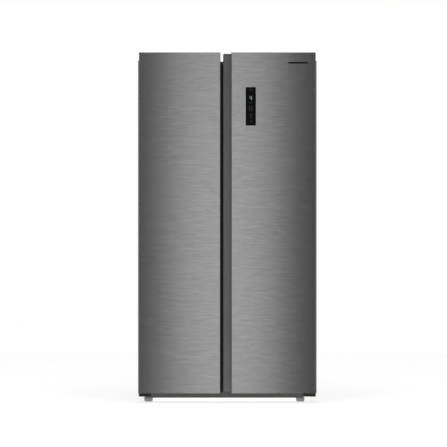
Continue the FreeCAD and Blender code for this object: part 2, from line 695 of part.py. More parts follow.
def fridge_air_duct():
    """Air duct on the back wall of the fresh food side, with its outlets and damper flap."""
    mid = "(fridge_left + fridge_right) / 2"
    left, right = f"{mid} - duct_width / 2", f"{mid} + duct_width / 2"
    shell = box((left, right), ("cavity_rear - duct_depth", "cavity_rear"),
                ("duct_base", "duct_top"))
    inside = box((f"{left} + 2", f"{right} - 2"),
                 ("cavity_rear - duct_depth + 2", "cavity_rear + 1"),
                 ("duct_base + 2", "duct_top - 2"))
    holes = []
    for z in DUCT_OUTLETS:
        for x in (f"{mid} - 80", f"{mid} + 20"):
            holes.append(box((x, f"{x} + 60"),
                             ("cavity_rear - duct_depth - 1", "cavity_rear - duct_depth + 3"),
                             (f"{z}", f"{z} + 14")))
    pin_y = "cavity_rear - 4"
    holes.append(rod("x", "1.5 + fit", (f"{left} + 0.5", pin_y, "flap_z"), "duct_width - 1"))
    piece("fridge_air_duct", cut(shell, inside, *holes))
    blade = box((f"{left} + 2.5", f"{right} - 2.5"),
                ("cavity_rear - duct_depth + 4", pin_y), ("flap_z - 1", "flap_z + 1"))
    pins = rod("x", "1.5", (f"{left} + 0.8", pin_y, "flap_z"), "duct_width - 1.6")
    piece("damper_flap", fuse(blade, pins))


def interior_lamps():
    """One lamp lens in the ceiling of each compartment."""
    lenses = []
    for x_low, x_high in (("freezer_left", "freezer_right"), ("fridge_left", "fridge_right")):
        mid = f"({x_low} + {x_high}) / 2"
        lenses.append(rounded_box((f"{mid} - 70", f"{mid} + 70"),
                                  ("cabinet_front + 60", "cabinet_front + 130"),
                                  ("cavity_top - lamp_height", "cavity_top"), "10"))
    piece("interior_lamps", group(*lenses))


# ---------------------------------------------------------------- shelves and drawers

def shelves():
    """Glass shelves in plastic frames that rest on the liner ribs."""
    for kind, levels in (("freezer", FREEZER_SHELVES), ("fridge", FRIDGE_SHELVES)):
        y = (f"{kind}_shelf_front", f"{kind}_shelf_rear")
        x = (f"{kind}_left + shelf_side_gap", f"{kind}_right - shelf_side_gap")
        glass_x = (x[0] + " + shelf_rim", x[1] + " - shelf_rim")
        glass_y = (y[0] + " + shelf_rim", y[1] + " - shelf_rim")
        panes = []
        frames = []
        for level in levels:
            pane = box(glass_x, glass_y, (f"{level}", f"{level} + shelf_glass"))
            below = box((glass_x[0] + " + 5", glass_x[1] + " - 5"),
                        (glass_y[0] + " + 5", glass_y[1] + " - 5"),
                        (f"{level} - shelf_glass - 1", f"{level} + 1"))
            rim = rounded_box(x, y, (f"{level} - shelf_glass", f"{level} + shelf_glass"), "4")
            panes.append(pane)
            frames.append(cut(rim, pane, below))
        piece(f"{kind}_shelf_glass", group(*panes))
        piece(f"{kind}_shelf_frames", group(*frames))


def drawer(name, kind, base, rear):
    """A drawer: clear tub, side flanges that slide on the liner ribs, and a thick front."""
    x_low, x_high = f"{kind}_left", f"{kind}_right"
    front = f"{kind}_shelf_front"
    top = f"{base} + drawer_height"
    back_of_front = f"{front} + drawer_front_wall"
    tub_x = (f"{x_low} + drawer_side_gap", f"{x_high} - drawer_side_gap")
    tub = rounded_box(tub_x, (f"{back_of_front} - 6", rear), (base, top), "6")
    inside = rounded_box((tub_x[0] + " + drawer_wall", tub_x[1] + " - drawer_wall"),
                         (back_of_front, f"{rear} - drawer_wall"),
                         (f"{base} + drawer_wall", f"{top} + 1"), "4")
    flange_z = (f"{top} - drawer_flange", top)
    flange_y = (f"{front} + rib_setback + 4", f"{rear} - 8")
    left = box((f"{x_low} + 2", f"{tub_x[0]} + 1"), flange_y, flange_z)
    right = box((f"{tub_x[1]} - 1", f"{x_high} - 2"), flange_y, flange_z)
    panel = rounded_box((f"{x_low} + drawer_front_gap", f"{x_high} - drawer_front_gap"),
                        (front, back_of_front), (f"{base} + 2", top), "5", "y")
    mid = f"({x_low} + {x_high}) / 2"
    scoop = rounded_box((f"{mid} - 70", f"{mid} + 70"), (f"{front} - 1", f"{front} + 7"),
                        (f"{top} - 42", f"{top} - 16"), "10", "y")
    piece(name, cut(fuse(cut(tub, inside), left, right, panel), scoop))


def drawers():
    """Two drawers in each compartment; the lower ones stop at the machine room step."""
    for kind, name in (("freezer", "freezer_drawer"), ("fridge", "crisper")):
        drawer(f"{name}_upper", kind, "upper_drawer_z", f"{kind}_shelf_rear")
        drawer(f"{name}_lower", kind, "lower_drawer_z", "step_front - 4")


# ---------------------------------------------------------------- doors

class DoorSide:
    """Where one door lies: sizes measured across it from its hinge edge inwards."""

    def __init__(self, kind, outer, inward, cavity_near, cavity_far, panel, band):
        self.kind = kind
        self.outer = outer
        self.inward = inward
        self.panel = panel
        self.edge = f"{panel} + {band}"
        self.dyke_near = f"{self.across(cavity_near)} + dyke_hinge_gap"
        self.dyke_far = f"{self.across(cavity_far)} - dyke_latch_gap"
        self.pin_x = self.x("hinge_inset")

    def across(self, x):
        """Distance of a vertical plane from the door's hinge edge."""
        return f"({self.inward}) * ({x} - ({self.outer}))"

    def x(self, distance):
        """Place of a line that lies at a distance from the door's hinge edge."""
        return f"{self.outer} + ({self.inward}) * ({distance})"

    def span(self, near, far):
        """The x range between two distances, low value first."""
        ends = (self.x(near), self.x(far))
        return ends if self.inward > 0 else ends[::-1]

    def prism(self, points, low, high):
        """An upright extrusion of an outline given as (distance, y) corners."""
        return extrusion("XY_Plane", [(self.x(u), y) for u, y in points], low, high)


FREEZER_DOOR = DoorSide("freezer", "left", 1, "freezer_left", "freezer_right",
                        "freezer_panel", "0")
FRIDGE_DOOR = DoorSide("fridge", "right", -1, "fridge_right", "fridge_left",
                       "fridge_panel", "grip_band")
PANEL_BACK = "door_back - liner_wall"
FOAM_TOP = "height - grip_drop - door_cap"


def hinge_pocket(door, grow="0"):
    """The space for the upper hinge in the top corner of a door, grown by a wall."""
    return box(door.span("-5", f"hinge_pocket + ({grow})"),
               ("front + sheet", "door_back + 1"),
               (f"cabinet_top - sheet - ({grow})", "height + 1"))


def display_block():
    """The flush block of the touch display in the fresh food door."""
    return rounded_box(("display_left", "display_left + display_width"),
                       ("front", "front + display_depth"),
                       ("display_base", "display_base + display_height"), "2", "y")


def door_skin(door, openings):
    """Folded brushed steel front with one side return and a hemmed lip at the grip."""
    lip_root = f"{door.panel} - grip_undercut"
    strip = (
        ("0", "front"), (door.panel, "front"), (door.panel, "front + lip"),
        (lip_root, "front + lip"), (lip_root, "front + lip - sheet"),
        (f"{door.panel} - sheet", "front + lip - sheet"),
        (f"{door.panel} - sheet", "front + sheet"), ("sheet", "front + sheet"),
        ("sheet", PANEL_BACK), ("0", PANEL_BACK),
    )
    skin = door.prism(strip, "door_floor", "height")
    round_edges(skin, "hinge_edge_radius", upright_at(door.x("0"), "front"))
    round_edges(skin, "hinge_edge_radius - sheet",
                upright_at(door.x("sheet"), "front + sheet"))
    round_edges(skin, "latch_edge_radius", upright_at(door.x(door.panel), "front"))
    round_edges(skin, "latch_edge_radius - sheet",
                upright_at(door.x(f"{door.panel} - sheet"), "front + sheet"))
    return cut(skin, hinge_pocket(door), *openings)


def door_grip(door):
    """Moulded channel behind the lip, where the fingers go."""
    inner = f"{door.panel} - grip_undercut"
    profile = (
        (door.edge, "door_back"), (door.edge, "grip_front"),
        (f"{inner} + grip_wall", "grip_front"), (f"{inner} + grip_wall", "front + lip"),
        (inner, "front + lip"), (inner, "grip_front + grip_wall"),
        (f"{door.edge} - grip_wall", "grip_front + grip_wall"),
        (f"{door.edge} - grip_wall", "door_back"),
    )
    channel = door.prism(profile, "door_floor + door_cap", FOAM_TOP)
    return round_edges(channel, "band_edge_radius",
                       upright_at(door.x(door.edge), "grip_front"))


def door_foam(door, openings):
    """Foamed slab of a door with the core of its dykes and room for hinge and caps."""
    inner = f"{door.panel} - grip_undercut"
    profile = (
        ("sheet", "front + sheet"), (f"{door.panel} - sheet", "front + sheet"),
        (f"{door.panel} - sheet", "front + lip - sheet"), (inner, "front + lip - sheet"),
        (inner, "grip_front + grip_wall"), (f"{door.edge} - grip_wall", "grip_front + grip_wall"),
        (f"{door.edge} - grip_wall", PANEL_BACK), ("sheet", PANEL_BACK),
    )
    slab = door.prism(profile, "door_floor + door_cap", FOAM_TOP)
    round_edges(slab, "hinge_edge_radius - sheet",
                upright_at(door.x("sheet"), "front + sheet"))
    round_edges(slab, "latch_edge_radius - sheet",
                upright_at(door.x(f"{door.panel} - sheet"), "front + sheet"))
    core = dyke_ring(door, "liner_wall", PANEL_BACK)
    bosses = (pin_boss(door, "cabinet_top - sheet - grip_wall - 18", "40"),
              pin_boss(door, "door_floor", "door_cap + 16"))
    return cut(fuse(slab, core), hinge_pocket(door, "grip_wall"), *bosses, *openings)


def pin_boss(door, low, length):
    """Round boss about the hinge line."""
    return rod("z", "2 * pin_radius", (door.pin_x, "hinge_y", low), length)


def dyke_ring(door, shrink, front):
    """Raised frame on the back of a door that carries the bins."""
    outer = box(door.span(f"{door.dyke_near} + {shrink}", f"{door.dyke_far} - {shrink}"),
                (front, f"dyke_rear - {shrink}"),
                (f"dyke_floor + {shrink}", f"dyke_top - {shrink}"))
    width = f"dyke_width - {shrink}"
    inner = box(door.span(f"{door.dyke_near} + {width}", f"{door.dyke_far} - ({width})"),
                (f"{front} - 1", "dyke_rear + 1"),
                (f"dyke_floor + {width}", f"dyke_top - ({width})"))
    return cut(outer, inner)


def cap_block(door, far, low, high):
    """Part of an end cap that fills the skin from its hinge side to a given distance."""
    corners = (("sheet", "front + sheet"), (far, "front + sheet"), (far, PANEL_BACK),
               ("sheet", PANEL_BACK))
    block = door.prism(corners, low, high)
    return round_edges(block, "hinge_edge_radius - sheet",
                       upright_at(door.x("sheet"), "front + sheet"))


def band_block(door, x, z):
    """End of the grip band, with a round corner beside the gap between the doors."""
    block = extrusion("XZ_Plane", ((x[0], z[0]), (x[1], z[0]), (x[1], z[1]), (x[0], z[1])),
                      "grip_front", PANEL_BACK)
    corner_x, corner_z = number(door.x(door.edge)), max(number(z[0]), number(z[1]))

    def top_corner(edge):
        at = edge.Vertexes[0].Point
        return (edge_direction(edge) == "y"
                and abs(at.x - corner_x) + abs(at.z - corner_z) < 1e-6)
    if z[1].startswith("height"):
        round_edges(block, "band_corner_radius", top_corner)
    return block


def door_caps(door):
    """Plastic end caps; the top one forms the hinge pocket, and both hold a pin bush."""
    inner = f"{door.panel} - grip_undercut"
    caps = []
    for low, high, band in (
            ("door_floor", "door_floor + door_cap", ("door_floor", "door_floor + door_cap")),
            (FOAM_TOP, "height", (FOAM_TOP, "height - grip_drop"))):
        main = cap_block(door, inner, low, high)
        behind = band_block(door, door.span(inner, door.edge), band)
        stop = box(door.span(inner, f"{door.panel} - sheet"), ("front + lip", "grip_front"),
                   band)
        caps.append([main, behind, stop])
    bottom, top = caps
    pin = rod("z", "pin_radius + fit", (door.pin_x, "hinge_y", "door_floor - 1"),
              "pin_length + 3")
    bottom_cap = cut(fuse(*bottom, pin_boss(door, "door_floor", "door_cap + 16")), pin)
    tray = cap_block(door, "hinge_pocket + grip_wall", "cabinet_top - sheet - grip_wall",
                     "height")
    pin = rod("z", "pin_radius + fit", (door.pin_x, "hinge_y", "cabinet_top - 40"), "60")
    boss = pin_boss(door, "cabinet_top - sheet - grip_wall - 18", "18")
    top_cap = cut(fuse(*top, tray), hinge_pocket(door))
    return group(bottom_cap, cut(fuse(top_cap, boss), pin))


def door_bins(door, levels, rear):
    """Clear bins hung between the dykes of a door."""
    near = f"{door.dyke_near} + dyke_width"
    far = f"{door.dyke_far} - dyke_width"
    bins = []
    for level in levels:
        outer = rounded_box(door.span(near, far), ("door_back + bin_seat", rear),
                            (f"{level}", f"{level} + bin_height"), "10")
        inner = rounded_box(door.span(f"{near} + bin_wall", f"{far} - bin_wall"),
                            ("door_back + bin_seat + bin_wall", f"{rear} - bin_wall"),
                            (f"{level} + bin_wall", f"{level} + bin_height + 1"), "8")
        bins.append(cut(outer, inner))
    return group(*bins)


def build_door(door, levels, openings):
    """All the pieces of one door."""
    name = door.kind + "_door_"
    piece(name + "skin", door_skin(door, openings))
    piece(name + "grip", door_grip(door))
    foam = piece(name + "foam", door_foam(door, openings))
    sheet_back = box(door.span("0", f"{door.edge} - grip_wall"), (PANEL_BACK, "door_back"),
                     ("door_floor", "height - grip_drop"))
    ring = dyke_ring(door, "0", PANEL_BACK)
    piece(name + "liner", cut(fuse(sheet_back, ring), foam, hinge_pocket(door)))
    lead = "gasket_lead + gasket_width"
    gasket_y = ("door_back", "cabinet_front - gasket_rest_gap")
    outer = rounded_box(door.span(f"{door.dyke_near} - ({lead})", f"{door.dyke_far} + {lead}"),
                        gasket_y, (f"dyke_floor - ({lead})", f"dyke_top + {lead}"), "12", "y")
    hole = box(door.span(f"{door.dyke_near} - gasket_lead", f"{door.dyke_far} + gasket_lead"),
               ("door_back - 1", "cabinet_front"),
               ("dyke_floor - gasket_lead", "dyke_top + gasket_lead"))
    piece(name + "gasket", cut(outer, hole))
    piece(name + "caps", door_caps(door))
    piece(name + "bins", door_bins(door, levels, door.kind + "_bin_rear"))


def dairy_lid():
    """Lid of the top bin in the fresh food door, on its hinge barrel."""
    door = FRIDGE_DOOR
    near = f"{door.dyke_near} + dyke_width + 0.5"
    far = f"{door.dyke_far} - dyke_width - 0.5"
    top = f"{FRIDGE_BINS[-1]} + bin_height + 0.5"
    plate = box(door.span(near, far), ("door_back + 6", "fridge_bin_rear"),
                (top, f"{top} + lid_thickness"))
    low, high = door.span(near, far)
    barrel = rod("x", "lid_thickness / 2", (low, "door_back + 6", f"{top} + lid_thickness / 2"),
                 f"{high} - ({low})")
    piece("dairy_lid", fuse(plate, barrel))


# ---------------------------------------------------------------- hinges

def hinge_screw_places(door):
    """Places of the three screws of an upper hinge."""
    return [(door.x(f"hinge_inset + {u}"), f"hinge_y + {y}")
            for u, y in (("0", "104"), ("38", "104"), ("38", "66"))]


def hinges(doors):
    """Upper and lower hinge brackets with their pins, screws and top covers."""
    uppers, lowers, covers, screws = [], [], [], []
    for door in doors:
        top = "cabinet_top"
        foot = ("foam_front + 20", "hinge_y + arm_length")
        arm_x = door.span("hinge_inset - arm_half", "hinge_inset + arm_half")
        plate_z = (top, f"{top} + arm_plate")
        arm = box(arm_x, ("hinge_y", "hinge_y + arm_length"), plate_z)
        eye = rod("z", "arm_half", (door.pin_x, "hinge_y", top), "arm_plate")
        wing = box(door.span("hinge_inset", "hinge_inset + 60"), foot, plate_z)
        pin = rod("z", "pin_radius", (door.pin_x, "hinge_y", f"{top} - pin_length"),
                  "pin_length + arm_plate")
        holes = [rod("z", "3", (x, y, f"{top} - 20"), "40")
                 for x, y in hinge_screw_places(door)]
        uppers.append(cut(fuse(arm, eye, wing, pin), *holes))

        for x, y in hinge_screw_places(door):
            shank = rod("z", "3", (x, y, f"{top} - 14"), "14 + arm_plate")
            head = rod("z", "6", (x, y, f"{top} + arm_plate"), "4")
            screws.append(fuse(shank, head))

        shells = []
        for wall in ("0", "cover_wall"):
            half = f"cover_half - {wall}"
            ceiling = f"height - 2 - {wall}"
            start = f"{top} - 1" if wall != "0" else top
            shells.append(fuse(
                rod("z", half, (door.pin_x, "hinge_y", start), f"{ceiling} - ({start})"),
                box(door.span(f"hinge_inset - ({half})", f"hinge_inset + {half}"),
                    ("hinge_y", f"hinge_y + arm_length + 2 - {wall}"), (start, ceiling)),
                box(door.span(f"hinge_inset - ({half})", f"hinge_inset + 62 - {wall}"),
                    (f"foam_front + 18 + {wall}", f"hinge_y + arm_length + 2 - {wall}"),
                    (start, f"{ceiling} - 12"))))
        covers.append(cut(*shells))

        base = "door_floor - 2"
        shelf = box(arm_x, ("hinge_y", "cabinet_front"), (f"{base} - 4", base))
        eye = rod("z", "arm_half", (door.pin_x, "hinge_y", f"{base} - 4"), "4")
        back = box(door.span("hinge_inset - arm_half - 4", "hinge_inset + 45"),
                   ("cabinet_front - 3", "cabinet_front"), ("cabinet_floor", base))
        pin = rod("z", "pin_radius", (door.pin_x, "hinge_y", f"{base} - 4"), "pin_length + 4")
        lowers.append(fuse(shelf, eye, back, pin))
    piece("upper_hinges", group(*uppers))
    piece("lower_hinges", group(*lowers))
    piece("hinge_covers", group(*covers))
    piece("hinge_screws", group(*screws))


def screw_holes(doors):
    """Drilled holes for the upper hinge screws in the cabinet top."""
    return [rod("z", "3", (x, y, "cabinet_top - 14"), "20")
            for door in doors for x, y in hinge_screw_places(door)]


# ---------------------------------------------------------------- the whole refrigerator

def build():
    """Every sub-part, cabinet first."""
    doors = (FREEZER_DOOR, FRIDGE_DOOR)
    outer_cabinet(screw_holes(doors))
    back_panel()
    cabinet_insulation(screw_holes(doors))
    liners()
    mullion_cover()
    base_frame()
    roller_axles()
    rear_rollers()
    feet()
    kick_plate()
    machine_room_cover()
    control_box()
    compressor()
    condenser()
    condenser_fan()
    refrigerant_pipes()
    evaporator()
    fridge_air_duct()
    interior_lamps()
    shelves()
    drawers()
    display = display_block()
    build_door(FREEZER_DOOR, FREEZER_BINS, ())
    build_door(FRIDGE_DOOR, FRIDGE_BINS, (display,))
    piece("control_display", display)
    dairy_lid()
    hinges(doors)


def check():
    """Stop if any object failed or any sub-part has no sound shape."""
    doc.recompute()
    for item in doc.Objects:
        if "Invalid" in item.State or "Error" in item.State:
            raise RuntimeError(f"{item.Name} ({item.Label}) failed: {item.State}")
    for item in pieces:
        if item.Shape.isNull() or not item.Shape.isValid() or not item.Shape.Solids:
            raise RuntimeError(f"{item.Label} has no valid solid")


def export():
    """One STEP file for each sub-part."""
    os.makedirs("parts", exist_ok=True)
    for item in pieces:
        item.Shape.exportStep(os.path.join("parts", item.Label + ".step"))
    print(len(pieces), "sub-parts written")


build()
check()
export()
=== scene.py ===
import json
import math

import bmesh
import bpy
import numpy as np
from bpy.props import FloatProperty, FloatVectorProperty, PointerProperty, StringProperty
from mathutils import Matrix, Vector


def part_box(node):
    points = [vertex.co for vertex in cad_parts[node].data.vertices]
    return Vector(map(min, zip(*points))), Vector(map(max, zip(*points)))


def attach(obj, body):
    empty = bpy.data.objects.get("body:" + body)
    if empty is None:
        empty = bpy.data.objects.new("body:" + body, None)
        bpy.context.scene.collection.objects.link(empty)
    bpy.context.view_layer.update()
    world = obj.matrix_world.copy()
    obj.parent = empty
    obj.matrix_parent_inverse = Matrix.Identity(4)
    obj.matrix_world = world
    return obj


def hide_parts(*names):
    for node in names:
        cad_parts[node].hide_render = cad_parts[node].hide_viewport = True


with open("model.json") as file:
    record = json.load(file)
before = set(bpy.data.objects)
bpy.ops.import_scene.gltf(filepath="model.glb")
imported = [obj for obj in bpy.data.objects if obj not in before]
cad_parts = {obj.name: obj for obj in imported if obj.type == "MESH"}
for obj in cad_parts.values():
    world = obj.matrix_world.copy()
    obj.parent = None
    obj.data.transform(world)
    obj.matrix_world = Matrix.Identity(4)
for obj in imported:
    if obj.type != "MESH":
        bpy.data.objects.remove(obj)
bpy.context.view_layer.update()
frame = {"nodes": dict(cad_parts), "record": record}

bl_info = {
    "name": "Side by side refrigerator",
    "version": (1, 0, 0),
    "blender": (4, 5, 0),
    "location": "View3D > Sidebar > Refrigerator",
    "description": "Builds the surfaces, finishes and studio of a side by side refrigerator",
    "category": "Object",
}

MM = 0.001
WELD = 1e-6  # points closer than this are one point
CORNER = 6  # points of the quarter circle at a rounded corner
SQUARE = 0.9999  # least cosine between an axis and a normal that lies along it


# ---------------------------------------------------------------- measures from the frame

def low(node):
    """Lowest corner of a node, metres."""
    return np.array(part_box(node)[0])


def high(node):
    """Highest corner of a node, metres."""
    return np.array(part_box(node)[1])


FRONT = low("fridge_door_skin")[1]
DOOR_TOP = high("fridge_door_skin")[2]


# ---------------------------------------------------------------- settings

class DoorSettings(bpy.types.PropertyGroup):
    """Colours of the two door fronts."""

    steel: StringProperty(
        name="Steel", description="Colour of the brushed fronts, sRGB hex", default="a3a3a3")
    grip: StringProperty(
        name="Grip", description="Colour of the recessed grip band, sRGB hex",
        default="7b7b7c")


class InteriorSettings(bpy.types.PropertyGroup):
    """Sizes and colours of what the doors hide."""

    liner: StringProperty(
        name="Liner", description="Colour of the moulded liners, sRGB hex", default="eef1f3")
    clear_tint: StringProperty(
        name="Clear tint", description="Colour of the clear plastic, sRGB hex",
        default="e6f0f4")


class CabinetSettings(bpy.types.PropertyGroup):
    """Colours of the cabinet."""

    side: StringProperty(
        name="Side", description="Colour of the coated side panels, sRGB hex",
        default="5a5a5c")
    base: StringProperty(
        name="Base", description="Colour of the kick plate and plastic covers, sRGB hex",
        default="5f5f60")


class StageSettings(bpy.types.PropertyGroup):
    """Camera and lamps."""

    distance: FloatProperty(
        name="Camera distance", description="From the door fronts to the camera",
        default=9.0, unit="LENGTH")
    aim: FloatVectorProperty(
        name="Aim", description="Point on the door fronts at the middle of the view",
        default=(-0.0195, 0.0, 0.915), subtype="XYZ", unit="LENGTH")
    span: FloatProperty(
        name="View width", description="Width that the view takes in at the door fronts",
        default=2.2755, unit="LENGTH")
    key: FloatProperty(
        name="Front panel", description="Power of the tall lamp panel behind the camera",
        default=34.0, subtype="POWER")
    panel: FloatProperty(
        name="Front panel width", description="Width of the tall lamp panel", default=1.15,
        unit="LENGTH")
    ring: FloatProperty(
        name="Ring panels", description="Power of each soft panel beside and behind",
        default=46.0, subtype="POWER")
    shoulder: FloatProperty(
        name="Front corner panels", description="Power of each soft panel at a front corner",
        default=46.0, subtype="POWER")
    top: FloatProperty(
        name="Top panel", description="Power of the lamp panel overhead", default=70.0,
        subtype="POWER")
    under: FloatProperty(
        name="Table panel", description="Power of the panel under the floor sheet",
        default=40.0, subtype="POWER")
    surround: FloatProperty(
        name="Surround", description="Strength of the light from the room", default=0.012,
        min=0.0)


# ---------------------------------------------------------------- meshes

def arc(centre, radius, start, stop, count):
    """Points of an arc: centre plus radius times (cos, sin) of angles in degrees."""
    angle = np.radians(np.linspace(start, stop, count))
    return np.column_stack((centre[0] + radius * np.cos(angle),
                            centre[1] + radius * np.sin(angle)))


def grid_faces(rows, columns, wrap=False):
    """Quads of a grid of points; wrap joins the last column to the first."""
    last = columns if wrap else columns - 1
    row, column = np.meshgrid(np.arange(rows - 1), np.arange(last), indexing="ij")
    after = (column + 1) % columns
    quads = np.stack((row * columns + column, row * columns + after,
                      (row + 1) * columns + after, (row + 1) * columns + column), axis=-1)
    return quads.reshape(-1, 4)


def add_piece(name, vertices, faces, finish, body, smooth=40, slot=None):
    """A mesh object in the object's frame that rides on a body; smooth is the sharp angle."""
    mesh = bpy.data.meshes.new(name)
    mesh.from_pydata(np.asarray(vertices).tolist(), [], faces)
    clean = bmesh.new()
    clean.from_mesh(mesh)
    bmesh.ops.remove_doubles(clean, verts=clean.verts, dist=WELD)
    bmesh.ops.recalc_face_normals(clean, faces=clean.faces)
    clean.to_mesh(mesh)
    clean.free()
    mesh.validate()
    return dress(bpy.data.objects.new(name, mesh), finish, body, smooth)


def dress(piece, finish, body, smooth):
    """Link a piece, give it its finish, shade it smooth up to an angle and let it ride."""
    bpy.context.scene.collection.objects.link(piece)
    mesh = piece.data
    mesh.materials.clear()
    mesh.materials.append(finish)
    mesh.shade_smooth()
    mesh.set_sharp_from_angle(angle=math.radians(smooth))
    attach(piece, body)
    return piece


def stack(loops):
    """Loops of equal length joined into a skin; both ends are closed by one face each.

    Vertex (i, j) is loop i's point j, so the surface is the loops carried one to the next.
    """
    rows, columns = loops.shape[:2]
    faces = grid_faces(rows, columns, wrap=True).tolist()
    faces.append(list(range(columns))[::-1])
    faces.append(list(range((rows - 1) * columns, rows * columns)))
    return loops.reshape(-1, 3), faces


def merge(*shells):
    """Several (vertices, faces) pairs as one."""
    vertices, faces, start = [], [], 0
    for points, polygons in shells:
        vertices.append(np.asarray(points))
        faces.extend([[index + start for index in face] for face in polygons])
        start += len(points)
    return np.concatenate(vertices), faces


def rounded_loop(x, y, radius, count=CORNER):
    """Rounded rectangle: four quarter circles of one radius about the inset corners."""
    corners = ((x[1], y[1], 0), (x[0], y[1], 90), (x[0], y[0], 180), (x[1], y[0], 270))
    parts = []
    for cx, cy, start in corners:
        centre = (cx - math.copysign(radius, cx - sum(x) / 2),
                  cy - math.copysign(radius, cy - sum(y) / 2))
        parts.append(arc(centre, radius, start, start + 90, count))
    return np.concatenate(parts)


def plate(lower, upper, radius, edge, count=CORNER):
    """A rounded plate: upright rounded rectangles stacked along y, inset by a quarter circle
    of radius edge at both faces."""
    turn = np.radians(np.linspace(0, 90, 4))
    inset = np.concatenate((edge * (1 - np.sin(turn)), edge * (1 - np.cos(turn))))
    level = np.concatenate((lower[1] + edge * (1 - np.cos(turn)),
                            upper[1] - edge * (1 - np.sin(turn))))
    loops = np.empty((len(inset), 4 * count, 3))
    for index, gap in enumerate(inset):
        loops[index, :, ::2] = rounded_loop(
            (lower[0] + gap, upper[0] - gap), (lower[2] + gap, upper[2] - gap),
            max(radius - gap, 0.01 * MM), count)
    loops[:, :, 1] = level[:, None]
    return stack(loops)


def revolve(profile, centre, steps):
    """A closed upright solid of revolution from its (radius, height) points."""
    angle = np.linspace(0, 2 * np.pi, steps, endpoint=False)
    loops = np.empty((len(profile), steps, 3))
    loops[:, :, 0] = centre[0] + profile[:, :1] * np.cos(angle)
    loops[:, :, 1] = centre[1] + profile[:, :1] * np.sin(angle)
    loops[:, :, 2] = centre[2] + profile[:, 1:]
    return stack(loops)


def tub(lower, upper, radius, wall, fillet, lip, lip_height):
    """An open tub: rounded rectangles go up the outside, out by lip under the rim, over the
    rim in a half circle and down inside; foot and inside floor end in quarter circles."""
    turn = np.radians(np.linspace(0, 90, 5))
    rim = (wall + lip) / 2
    over = np.radians(np.linspace(0, 180, 7))
    inner = max(fillet - wall, wall)
    under = upper[2] - lip_height
    inset = np.concatenate((
        lip + fillet * (1 - np.sin(turn)), [lip, 0.0], rim - rim * np.cos(over),
        lip + wall + inner * (1 - np.cos(turn))))
    level = np.concatenate((
        lower[2] + fillet * (1 - np.cos(turn)), [under - lip, under],
        upper[2] - rim + rim * np.sin(over), lower[2] + wall + inner * (1 - np.sin(turn))))
    loops = np.empty((len(inset), 4 * CORNER, 3))
    for index, gap in enumerate(inset):
        loops[index, :, :2] = rounded_loop(
            (lower[0] + gap, upper[0] - gap), (lower[1] + gap, upper[1] - gap),
            max(radius - gap, 0.5 * MM))
    loops[:, :, 2] = level[:, None]
    return stack(loops)


def merged_copy(node, finish, flat=True):
    """A copy of a CAD node with its points merged and, if flat, its flat triangles too."""
    mesh = frame["nodes"][node].data.copy()
    clean = bmesh.new()
    clean.from_mesh(mesh)
    bmesh.ops.remove_doubles(clean, verts=clean.verts, dist=2 * WELD)
    if flat:
        bmesh.ops.dissolve_limit(clean, angle_limit=math.radians(0.5), verts=clean.verts,
                                 edges=clean.edges)
    clean.to_mesh(mesh)
    clean.free()
    return dress(bpy.data.objects.new(node + "_finished", mesh), finish, body_of(node), 35)


def flatten(mesh):
    """Shade each face flat whose normal lies along an axis, and the rounded ones smooth."""
    normals = np.empty(len(mesh.polygons) * 3)
    mesh.polygons.foreach_get("normal", normals)
    rounded = np.abs(normals.reshape(-1, 3)).max(axis=1) < SQUARE
    mesh.polygons.foreach_set("use_smooth", rounded)


def sink(piece, x, z, depth):
    """Sink a rectangle of the flat front face by a depth, cut out along its four sides.

    The cuts leave the elements in any order, so they are sorted by place at the end.
    """
    shell = bmesh.new()
    shell.from_mesh(piece.data)

    def place_of(item):
        corners = [item] if isinstance(item, bmesh.types.BMVert) else item.verts
        return sorted(tuple(round(value / WELD) for value in corner.co) for corner in corners)

    def front():
        return [face for face in shell.faces
                if face.normal.y < -SQUARE
                and abs(face.calc_center_median().y - FRONT) < 0.01 * MM]

    for axis, places in ((0, x), (2, z)):
        for place in places:
            flat = front()
            edges = {edge for face in flat for edge in face.edges}
            corners = {corner for face in flat for corner in face.verts}
            bmesh.ops.bisect_plane(
                shell, geom=[*corners, *edges, *flat], dist=1e-7,
                plane_co=[place if axis == index else 0 for index in range(3)],
                plane_no=[float(axis == index) for index in range(3)])
    inside = [face for face in front()
              if x[0] < face.calc_center_median().x < x[1]
              and z[0] < face.calc_center_median().z < z[1]]
    floor = bmesh.ops.extrude_face_region(shell, geom=inside)["geom"]
    bmesh.ops.translate(shell, vec=(0, depth, 0), verts=[
        item for item in floor if isinstance(item, bmesh.types.BMVert)])
    left = [face for face in inside if face.is_valid]
    bmesh.ops.delete(shell, geom=left, context="FACES_ONLY")
    for items in (shell.verts, shell.edges, shell.faces):
        rank = {item: index for index, item in enumerate(sorted(items, key=place_of))}
        items.sort(key=rank.get)
    shell.to_mesh(piece.data)
    shell.free()


def softened(node, width, finish):
    """A copy of a CAD node with its points merged and its sharp edges bevelled."""
    piece = merged_copy(node, finish)
    bevel = piece.modifiers.new("rounded edges", "BEVEL")
    bevel.width = width
    bevel.segments = 2
    bevel.limit_method = "ANGLE"
    bevel.angle_limit = math.radians(30)
    bevel.harden_normals = False
    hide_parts(node)


def body_of(node):
    """Name of the body that a node belongs to."""
    bodies = frame["record"]["behaviour"]["bodies"]
    return next(body for body, nodes in bodies.items() if node in nodes)


def paint(node, finish):
    """Give a CAD node its finish."""
    target = frame["nodes"][node]
    target.data.materials.clear()
    target.data.materials.append(finish)
    target.material_slots[0].material = finish


# ---------------------------------------------------------------- finishes

def linear(code):
    """An sRGB hex colour as linear RGBA."""
    value = np.array([int(code[index:index + 2], 16) for index in (0, 2, 4)]) / 255
    value = np.where(value <= 0.04045, value / 12.92, ((value + 0.055) / 1.055) ** 2.4)
    return (*value.tolist(), 1.0)


